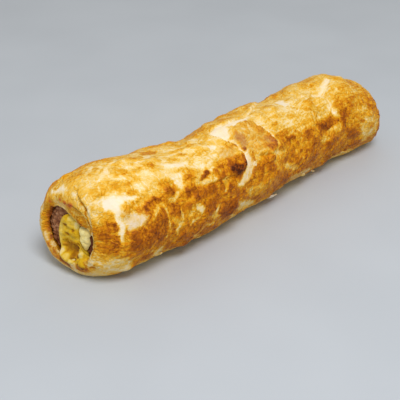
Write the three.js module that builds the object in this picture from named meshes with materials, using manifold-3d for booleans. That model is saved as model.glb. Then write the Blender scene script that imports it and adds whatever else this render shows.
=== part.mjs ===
// A long baked sausage roll: flaky pastry wrapped round sausage meat, with a core
// of yellow cheese and a stick of pale cheese that show in the open ends.
// Millimetres, +Z up. The roll lies along X, and its wider open end is the one at -X.

import * as THREE from "three";
import { ParametricGeometry } from "three/addons/geometries/ParametricGeometry.js";
import { mergeVertices } from "three/addons/utils/BufferGeometryUtils.js";
import Module from "manifold-3d";

const { clamp, degToRad, lerp, seededRandom, smoothstep } = THREE.MathUtils;

// ---------------------------------------------------------------- driving dimensions

// The roll as a whole. RADII and SWAY are spaced evenly from the -X end to the +X end.
const LENGTH = 210;
const RADII = [25.8, 26.6, 25.5, 24.5, 25.0, 24.2, 23.6, 24.2, 19.7];
const SWAY = [0, -2.6, -4.2, -1.9, 1.0, 2.8, 0];
const SIT_HEIGHT = 0.9;            // axis height over the base, as a share of the radius

// Each end: how far the rounding reaches, the rim's share of the radius, how square the
// rounding is, and how the end plane is turned sideways and tipped back, in degrees.
const NEAR_END = { reach: 12.4, rim: 0.58, square: 1.81, turn: 13.0, tip: 6.1 };
const FAR_END = { reach: 10.0, rim: 0.66, square: 3.0, turn: -4.7, tip: -7.6 };
const END_FADE = 35;               // the turn and tip of an end fade out over this length

// The bore that holds the filling, and the pastry lip round each opening.
const BORE = 0.64;                 // bore radius as a share of the pastry radius
const MOUTH_DEPTH = 4.2;           // from the rim down to the meat
const MOUTH_RADIUS = 14.6;         // opening at the -X rim
const FILL_START = MOUTH_DEPTH;
const FILL_END = LENGTH - MOUTH_DEPTH;

// The inner layer of pastry that hangs into the opening at the -X end, on its upper side.
const TONGUE = { from: 12, peak: 68, to: 128, hang: 6.0, inset: 1.3 };

// Fillings, as sections round the bore axis where the bore has its full size.
const CLEARANCE = 0.3;
const OVERRUN = 12;                // how far the cut for a filling runs on past the ends
const MEAT_RADIUS = BORE * RADII[0] - CLEARANCE;
const MEAT = { y: 0, z: 0, halfWidth: MEAT_RADIUS, halfHeight: MEAT_RADIUS, bulge: 0.5, around: 48 };
const YELLOW_CORE = { y: -0.5, z: -2.9, halfWidth: 7.2, halfHeight: 10.4, bulge: 2.6, around: 24 };
const PALE_STICK = { y: -7.6, z: 0.2, halfWidth: 3.9, halfHeight: 5.4, bulge: 2.2, around: 16 };

// Yellow cheese that has melted out over the meat, down to the lower lip.
const MELT = {
  y: -0.6, z: -8.3, halfWidth: 8.6, halfHeight: 5.6, start: 2.5, end: 3.3, bulge: 1.6, around: 20,
};

// Layer edges: the upper layer ends along a line of [angle, distance along the roll], in
// degrees from the -Y side up over the top. side is +1 where the upper layer lies on the
// -X side of the line. The step is thick at the edge and thins out behind it.
const LAYER_EDGES = [
  {
    // The wrap's front edge beside the opening.
    line: [[-46, 0.6], [-20, 0.3], [20, 0.5], [50, 1.2], [66, 2.6], [84, 5.5]],
    side: -1,
    thick: 1.1,
    thins: 16,
  },
  {
    // The rounded flap near the middle, then on over the top and down the back.
    line: [[8, 79], [28, 83], [36, 89], [48, 91], [66, 86], [100, 80], [170, 64], [236, 48]],
    side: 1,
    thick: 1.5,
    thins: 20,
  },
  {
    // The browned lobe beyond it.
    line: [[28, 108], [36, 112], [52, 114], [70, 111], [92, 102]],
    side: 1,
    thick: 1.2,
    thins: 14,
  },
  {
    // The last turn towards the +X end.
    line: [[10, 166], [46, 165], [66, 167], [88, 180], [150, 168], [230, 150]],
    side: 1,
    thick: 1.2,
    thins: 22,
  },
];

// The long seam on the crown, as [distance along the roll, angle]: a shallow open groove
// with the back layer standing a little proud of the front one.
const SEAM = { line: [[80, 84], [96, 88], [124, 97], [142, 90], [160, 74]], groove: 0.9, step: 0.8, width: 2.4 };

// Blisters of the baked skin, and slow ripples as [height, degrees per mm along, turns round].
const BLISTERS = { seed: 3407, count: 130, long: [4, 9.5], wide: [3, 5.5], high: [0.35, 1.15] };
const RIPPLES = [[0.4, 7.6, 2], [0.3, -12.5, 3], [0.25, 4.1, 5]];

// Mesh fineness.
const AROUND = 48;
const SKIN_RINGS = 74;
const LIP_RINGS = 3;
const BORE_RINGS = 10;
const ROD_CAP_RINGS = 3;

// ---------------------------------------------------------------- shape of the roll

// Smooth value at share t, 0 to 1, through evenly spaced values.
function through(values, t) {
  const last = values.length - 1;
  const at = clamp(t, 0, 1) * last;
  const i = Math.min(Math.floor(at), last - 1);
  const w = at - i;
  const [a, b, c, d] = [values[Math.max(i - 1, 0)], values[i], values[i + 1], values[Math.min(i + 2, last)]];
  const startSlope = (c - a) / 2;
  const endSlope = (d - b) / 2;
  return (2 * b - 2 * c + startSlope + endSlope) * w ** 3
    + (-3 * b + 3 * c - 2 * startSlope - endSlope) * w ** 2
    + startSlope * w
    + b;
}

// Straight-line value at x on a list of [x, value] corners.
function along(line, x) {
  const passed = line.filter(([corner]) => corner < x).length;
  const next = clamp(passed, 1, line.length - 1);
  const [x0, y0] = line[next - 1];
  const [x1, y1] = line[next];
  return lerp(y0, y1, clamp((x - x0) / (x1 - x0), 0, 1));
}

// 1 inside from..to, falling to 0 over a margin outside it.
function within(x, from, to, margin) {
  return smoothstep(x, from - margin, from) * (1 - smoothstep(x, to, to + margin));
}

const pastryRadius = (s) => through(RADII, s / LENGTH);
const boreRadius = (s) => BORE * pastryRadius(clamp(s, 0, LENGTH));
const axisHeight = (s) => SIT_HEIGHT * pastryRadius(s);

// The rounding of an end: the share of the radius at a distance in from its rim.
function rounding(end, distance) {
  const t = clamp(1 - distance / end.reach, 0, 1);
  return end.rim + (1 - end.rim) * (1 - t ** end.square) ** (1 / end.square);
}

// A point of a cross-section, y sideways and z up from the axis, at distance s along.
function place(s, y, z, target) {
  const near = Math.exp(-((s / END_FADE) ** 2));
  const far = Math.exp(-(((LENGTH - s) / END_FADE) ** 2));
  const turned = -Math.tan(degToRad(NEAR_END.turn)) * near - Math.tan(degToRad(FAR_END.turn)) * far;
  const tipped = Math.tan(degToRad(NEAR_END.tip)) * near + Math.tan(degToRad(FAR_END.tip)) * far;
  const share = clamp(s / LENGTH, 0, 1);
  return target.set(
    s - LENGTH / 2 + turned * y + tipped * z,
    through(SWAY, share) + y,
    Math.max(axisHeight(s) + z, 0),
  );
}

// The same by angle, in degrees, from the -Y side up over the top, and distance from the axis.
function placeRound(s, angle, radius, target) {
  const a = degToRad(angle);
  return place(s, -radius * Math.cos(a), radius * Math.sin(a), target);
}

// ---------------------------------------------------------------- relief of the skin

function makeBlisters() {
  seededRandom(BLISTERS.seed);
  const draw = ([low, high]) => lerp(low, high, seededRandom());
  return Array.from({ length: BLISTERS.count }, () => ({
    s: draw([8, LENGTH - 6]),
    angle: draw([-55, 235]),
    long: draw(BLISTERS.long),
    wide: draw(BLISTERS.wide),
    lean: draw([-0.9, 0.9]),
    high: draw(BLISTERS.high),
  }));
}

const blisters = makeBlisters();

function blisterHeight(s, angle) {
  const perDegree = (Math.PI / 180) * pastryRadius(s);
  let height = 0;
  for (const blister of blisters) {
    const ds = s - blister.s;
    const dt = (angle - blister.angle) * perDegree;
    const u = (ds * Math.cos(blister.lean) + dt * Math.sin(blister.lean)) / blister.long;
    const v = (dt * Math.cos(blister.lean) - ds * Math.sin(blister.lean)) / blister.wide;
    const inside = 1 - u * u - v * v;
    height += inside > 0 ? blister.high * inside * inside : 0;
  }
  return height;
}

// Height of one layer over the next, near the edge where it ends.
function layerHeight(edge, s, angle) {
  const first = edge.line[0][0];
  const last = edge.line.at(-1)[0];
  const behind = edge.side * (along(edge.line, angle) - s);
  const risen = smoothstep(behind, -0.8, 0.8);
  return edge.thick * risen * Math.exp(-Math.max(behind, 0) / edge.thins) * within(angle, first, last, 8);
}

function seamHeight(s, angle) {
  const ends = within(s, SEAM.line[0][0], SEAM.line.at(-1)[0], 8);
  const past = (angle - along(SEAM.line, s)) * (Math.PI / 180) * pastryRadius(s);
  const groove = SEAM.groove * Math.exp(-((past / SEAM.width) ** 2));
  const proud = SEAM.step * smoothstep(past, 0, SEAM.width) * Math.exp(-Math.max(past, 0) / 18);
  return ends * (proud - groove);
}

function rippleHeight(s, angle) {
  const wave = ([height, perMm, turns]) => height * Math.sin(degToRad(perMm * s + turns * angle));
  return RIPPLES.reduce((sum, ripple) => sum + wave(ripple), 0) * within(s, 12, LENGTH - 12, 10);
}

function relief(s, angle) {
  const edges = LAYER_EDGES.reduce((sum, edge) => sum + layerHeight(edge, s, angle), 0);
  return edges + seamHeight(s, angle) + blisterHeight(s, angle) + rippleHeight(s, angle);
}

// ---------------------------------------------------------------- pastry

// Angles run from -90, under the roll, round to 270, so that no feature meets the join.
const START_ANGLE = -90;

function skinPoint(s, angle, target) {
  const radius = (at) => pastryRadius(at) * rounding(NEAR_END, at) * rounding(FAR_END, LENGTH - at);
  const inward = clamp(s, 0.2, LENGTH - 0.2);
  const slope = (radius(inward + 0.1) - radius(inward - 0.1)) / 0.2;
  const lift = relief(s, angle);
  const tilt = Math.hypot(1, slope);
  return placeRound(s - (lift * slope) / tilt, angle, radius(s) + lift / tilt, target);
}

// How far the opening at the -X end is narrowed by the hanging inner layer, 0 to 1.
function tongueShare(angle) {
  const rise = smoothstep(angle, TONGUE.from, TONGUE.peak);
  return rise * (1 - smoothstep(angle, TONGUE.peak, TONGUE.to));
}

// Stations of the pastry's lengthwise section: out along the skin, in over the +X lip,
// back through the bore and out over the -X lip. Each gives a point for an angle.
function pastryStations() {
  const stations = [];
  for (let i = 0; i <= SKIN_RINGS; i += 1) {
    const t = i / SKIN_RINGS;
    const eased = t - 0.11 * Math.sin(4 * Math.PI * t) / 2 - 0.035 * Math.sin(2 * Math.PI * t);
    stations.push((angle, target) => skinPoint(LENGTH * eased, angle, target));
  }
  const farMouth = pastryRadius(LENGTH) * FAR_END.rim - 0.5;
  for (let i = 0; i < LIP_RINGS; i += 1) {
    const t = (i + 1) / LIP_RINGS;
    const s = LENGTH - lerp(0.6, MOUTH_DEPTH, t * t);
    const radius = lerp(farMouth, boreRadius(s), t * t);
    stations.push((angle, target) => placeRound(s, angle, radius, target));
  }
  for (let i = 1; i < BORE_RINGS; i += 1) {
    const s = lerp(LENGTH - MOUTH_DEPTH, MOUTH_DEPTH, i / BORE_RINGS);
    stations.push((angle, target) => placeRound(s, angle, boreRadius(s), target));
  }
  for (let i = 0; i < LIP_RINGS; i += 1) {
    const t = i / (LIP_RINGS - 1);
    const s = lerp(MOUTH_DEPTH, TONGUE.inset, t);
    const open = lerp(boreRadius(s), MOUTH_RADIUS, smoothstep(t, 0, 1));
    const hang = TONGUE.hang * smoothstep(t, 0, 0.5);
    stations.push((angle, target) => placeRound(s, angle, open - hang * tongueShare(angle), target));
  }
  return stations;
}

function closeMesh(geometry) {
  geometry.deleteAttribute("normal");
  geometry.deleteAttribute("uv");
  return mergeVertices(geometry, 1e-4);
}

function pastryGeometry() {
  const stations = pastryStations();
  const [before, after] = [new THREE.Vector3(), new THREE.Vector3()];
  const surface = (u, v, target) => {
    const at = v * stations.length;
    const i = Math.floor(at);
    const angle = START_ANGLE + 360 * (1 - (u % 1));
    stations[i % stations.length](angle, before);
    stations[(i + 1) % stations.length](angle, after);
    target.lerpVectors(before, after, at - i);
  };
  return closeMesh(new ParametricGeometry(surface, AROUND, stations.length));
}

// ---------------------------------------------------------------- fillings

// Rings of a rod, as [distance along, share of its section], from one tip to the other.
// A shown rod has end faces that swell outwards by bulge. A room is the same rod run on
// past both ends, to cut the space for it out of a neighbour.
function shownRings(start, end, steps, bulge) {
  const rings = [];
  for (let i = 0; i < ROD_CAP_RINGS; i += 1) {
    const share = i / ROD_CAP_RINGS;
    rings.push([start - bulge * Math.cos((share * Math.PI) / 2), share]);
  }
  for (let i = 0; i <= steps; i += 1) {
    rings.push([lerp(start, end, i / steps), 1]);
  }
  for (let i = ROD_CAP_RINGS - 1; i >= 0; i -= 1) {
    const share = i / ROD_CAP_RINGS;
    rings.push([end + bulge * Math.cos((share * Math.PI) / 2), share]);
  }
  return rings;
}

function roomRings() {
  const [before, beyond] = [FILL_START - OVERRUN, FILL_END + OVERRUN];
  const body = shownRings(FILL_START, FILL_END, BORE_RINGS, 0).filter(([, share]) => share === 1);
  return [[before, 0], [before, 1], ...body, [beyond, 1], [beyond, 0]];
}

// A rod whose section, [y, z] by angle, shrinks with the bore.
function rodSolid(wasm, { section, y, z, around }, rings) {
  const surface = (u, v, target) => {
    const at = Math.min(v * (rings.length - 1), rings.length - 1 - 1e-9);
    const i = Math.floor(at);
    const s = lerp(rings[i][0], rings[i + 1][0], at - i);
    const share = lerp(rings[i][1], rings[i + 1][1], at - i);
    const [edgeY, edgeZ] = section(-2 * Math.PI * (u % 1));
    const scale = boreRadius(s) / boreRadius(0);
    return place(s, scale * lerp(y, edgeY, share), scale * lerp(z, edgeZ, share), target);
  };
  return toManifold(wasm, closeMesh(new ParametricGeometry(surface, around, rings.length - 1)));
}

// An oval filling, grown all round by grow.
function oval({ y, z, halfWidth, halfHeight, around }, grow = 0) {
  const section = (angle) => [
    y - (halfWidth + grow) * Math.cos(angle),
    z + (halfHeight + grow) * Math.sin(angle),
  ];
  return { section, y, z, around };
}

function toManifold(wasm, geometry) {
  const corners = [];
  for (let i = 0; i < geometry.index.count; i += 3) {
    const [a, b, c] = [0, 1, 2].map((k) => geometry.index.getX(i + k));
    if (a !== b && b !== c && c !== a) corners.push(a, b, c);
  }
  return new wasm.Manifold(new wasm.Mesh({
    numProp: 3,
    vertProperties: new Float32Array(geometry.attributes.position.array),
    triVerts: new Uint32Array(corners),
  }));
}

function toGeometry(solid) {
  const mesh = solid.getMesh();
  const geometry = new THREE.BufferGeometry();
  geometry.setAttribute("position", new THREE.BufferAttribute(mesh.vertProperties, 3));
  geometry.setIndex(new THREE.BufferAttribute(mesh.triVerts, 1));
  return geometry;
}

function fillingSolids(wasm) {
  const shown = (filling) => (
    rodSolid(wasm, oval(filling), shownRings(FILL_START, FILL_END, BORE_RINGS, filling.bulge))
  );
  const room = (filling) => rodSolid(wasm, oval(filling, CLEARANCE), roomRings());
  const melt = rodSolid(wasm, oval(MELT), shownRings(MELT.start, MELT.end, 1, MELT.bulge));
  const yellow = shown(YELLOW_CORE).add(melt);
  const pale = shown(PALE_STICK).subtract(room(YELLOW_CORE));
  const meat = shown(MEAT).subtract(room(YELLOW_CORE)).subtract(room(PALE_STICK));
  return { meat, yellow, pale };
}

// ---------------------------------------------------------------- model

function piece(name, geometry, colour, roughness) {
  const material = new THREE.MeshStandardMaterial({ color: colour, roughness, metalness: 0 });
  const mesh = new THREE.Mesh(geometry, material);
  mesh.name = name;
  return mesh;
}

const wasm = await Module();
wasm.setup();

const fillings = fillingSolids(wasm);
const roll = new THREE.Group();
roll.add(
  piece("pastry", pastryGeometry(), 0xd9983f, 0.55),
  piece("sausage_meat", toGeometry(fillings.meat), 0x7c4a35, 0.7),
  piece("yellow_cheese", toGeometry(fillings.yellow), 0xd9b53a, 0.45),
  piece("pale_cheese", toGeometry(fillings.pale), 0xe9dca4, 0.5),
);

// The origin is the middle of the footprint, on the surface that the roll rests on.
const box = new THREE.Box3().setFromObject(roll);
const middle = box.getCenter(new THREE.Vector3());
roll.position.set(-middle.x, -middle.y, -box.min.z);

export default roll;
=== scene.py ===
"""A baked sausage roll on a pale floor: the looks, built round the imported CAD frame.

The roll is laid out as in the part's source: distance s runs along it in millimetres from
its wider open end, and angles run in degrees from the -Y side up over the top. Shapes are
worked out in millimetres and turned into metres when a mesh is made.
"""
import math

import bpy
import numpy as np
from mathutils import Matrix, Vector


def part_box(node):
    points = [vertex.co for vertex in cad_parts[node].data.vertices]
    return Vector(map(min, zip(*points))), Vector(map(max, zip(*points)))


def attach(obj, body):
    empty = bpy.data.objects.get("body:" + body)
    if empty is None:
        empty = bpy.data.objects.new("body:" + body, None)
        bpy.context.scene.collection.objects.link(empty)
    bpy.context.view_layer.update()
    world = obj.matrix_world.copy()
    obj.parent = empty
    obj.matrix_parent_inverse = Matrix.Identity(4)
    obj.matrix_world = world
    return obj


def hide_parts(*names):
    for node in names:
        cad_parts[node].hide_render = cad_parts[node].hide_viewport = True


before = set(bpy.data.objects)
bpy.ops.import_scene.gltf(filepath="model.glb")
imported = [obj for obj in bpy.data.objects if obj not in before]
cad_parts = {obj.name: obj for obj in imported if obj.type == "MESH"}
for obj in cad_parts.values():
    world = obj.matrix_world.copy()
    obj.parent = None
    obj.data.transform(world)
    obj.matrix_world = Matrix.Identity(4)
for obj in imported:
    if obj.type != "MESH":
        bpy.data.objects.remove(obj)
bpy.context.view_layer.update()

MM = 0.001
PI = math.pi

# ------------------------------------------------------------------ driving dimensions

LENGTH = 210.0
RADII = [25.8, 26.6, 25.5, 24.5, 25.0, 24.2, 23.6, 24.2, 19.7]
SWAY = [0.0, -2.6, -4.2, -1.9, 1.0, 2.8, 0.0]
SIT_HEIGHT = 0.9
NEAR_END = {"reach": 12.4, "rim": 0.58, "square": 1.81, "turn": 13.0, "tip": 6.1}
FAR_END = {"reach": 10.0, "rim": 0.66, "square": 3.0, "turn": -4.7, "tip": -7.6}
END_FADE = 35.0

BORE = 0.64
MOUTH_DEPTH = 4.2
FILL_START = MOUTH_DEPTH
FILL_END = LENGTH - MOUTH_DEPTH
MEAN_RADIUS = 24.5                  # turns angles into millimetres on the unrolled skin

CLEARANCE = 0.3
MEAT_AROUND = 48
BORE_RINGS = 10
MEAT_RADIUS = BORE * RADII[0] - CLEARANCE
YELLOW_CORE = {"y": -0.5, "z": -2.9, "half_width": 7.2, "half_height": 10.4}
PALE_STICK = {"y": -7.6, "z": 0.2, "half_width": 3.9, "half_height": 5.4}
# Points inside each filling that its outlines are measured from, as (y, z).
MEAT_CENTRE = (-5.5, -0.5)
YELLOW_CENTRE = (-0.6, -4.2)
PALE_CENTRE = (-7.2, 0.0)

# The inner layer of pastry that hangs into the near opening, as [angle, millimetres].
TONGUE = [[-50, 0], [-36, 0.4], [-19, 0.9], [-2, 1.3], [12, 1.8], [22, 3.0], [31, 5.0], [38, 6.4],
          [46, 7.4], [56, 8.1], [66, 8.4], [76, 8.1], [86, 7.4], [95, 6.5], [105, 5.1], [114, 3.2],
          [124, 1.4], [134, 0.3], [144, 0]]

# Layer edges as points [s, angle]. The upper layer lies to the left of the way they run.
LAYER_EDGES = [
    {"line": [[0.0, -46], [0.0, 20], [0.25, 42], [0.65, 56], [1.1, 68], [1.8, 80], [3.8, 90]],
     "left": False, "thick": 1.3, "thins": 14},
    {"line": [[60, 33], [68, 30], [76, 29.5], [82, 27], [87, 29.5], [90.3, 35], [91, 43], [90, 50],
              [88, 60], [86, 68], [84, 78], [82, 98], [79, 112]],
     "left": True, "thick": 1.5, "thins": 18},
    {"line": [[73, 136], [68, 152], [62, 170], [48, 215]],
     "left": True, "thick": 1.2, "thins": 18},
    {"line": [[97, 37], [103, 32.5], [109, 30], [112.5, 32.5], [114.2, 38], [114, 46], [112.3, 54],
              [110.5, 62], [109.3, 72], [106, 77.5], [99, 78], [94, 76], [91, 70]],
     "left": True, "thick": 1.5, "thins": 12},
    {"line": [[164, 30], [166, 42], [166.3, 56], [165, 64], [158, 71], [148, 79]],
     "left": True, "thick": 0.9, "thins": 12},
    {"line": [[194, 84], [180, 78], [173, 69], [168.2, 60], [167.8, 42], [169, 28]],
     "left": True, "thick": 1.1, "thins": 16},
    {"line": [[84, 96], [96, 90], [110, 91], [118, 95], [126, 104], [138, 128], [152, 170], [160, 215]],
     "left": True, "thick": 0.9, "thins": 16},
]

BLISTERS = {"seed": 3407, "count": 130, "long": (4, 9.5), "wide": (3, 5.5), "high": (0.35, 1.15)}
# Low waves of the whole skin as (height in mm, degrees per mm along, waves round).
RIPPLES = [(0.4, 7.6, 2), (0.3, -12.5, 3), (0.25, 4.1, 5)]
FINE_MEAN = 0.45                    # mean height of the fine relief, taken off so that it evens out

# Spans of angle on the skin, as (from, to, margin).
CROWN = (56, 105, 14)
BACK_OF_CROWN = (100, 160, 30)
LOWER_EDGE = (-60, -32, 24)

# ------------------------------------------------------------------ baked colour of the skin

# Tone of the skin by angle, from pale dough (0) over gold (0.5) and brown (0.8) to charred (1).
# From -50 to -16 degrees the tone is darker than the baking alone: painted shade on the lower side.
TONE_ROUND = [(-90, 0.3), (-62, 0.32), (-50, 0.45), (-42, 0.6), (-30, 0.71), (-16, 0.7), (0, 0.66),
              (22, 0.64), (36, 0.58), (46, 0.4), (60, 0.32), (80, 0.35), (92, 0.43), (104, 0.5),
              (125, 0.5), (150, 0.56), (185, 0.62), (205, 0.5), (222, 0.32), (270, 0.3)]

# The crown's tones are drawn in towards one tone, by how much of their contrast is kept.
CROWN_TONE = 0.27
CROWN_CONTRAST = 0.66

# The lobe beyond the middle flap, and the two parts of it that have browned most.
LOBE = [(96.5, 77.5), (102, 76.5), (106, 77), (109, 73), (110.3, 61), (112, 54), (114, 46), (114, 37),
        (112, 32.5), (109, 30.5), (105, 32.5), (99, 37.5), (95, 42), (92, 46.5), (90.8, 54), (90.4, 65)]
LOBE_MIDDLE = [(94.5, 72), (97, 65.5), (99.5, 56), (97.5, 50), (94.2, 47), (92.2, 49), (92, 56),
               (92.4, 65.5)]
LOBE_TIP = [(108.8, 53), (112, 49.5), (113.6, 43), (112, 39), (108.2, 40), (106.5, 47)]
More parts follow.
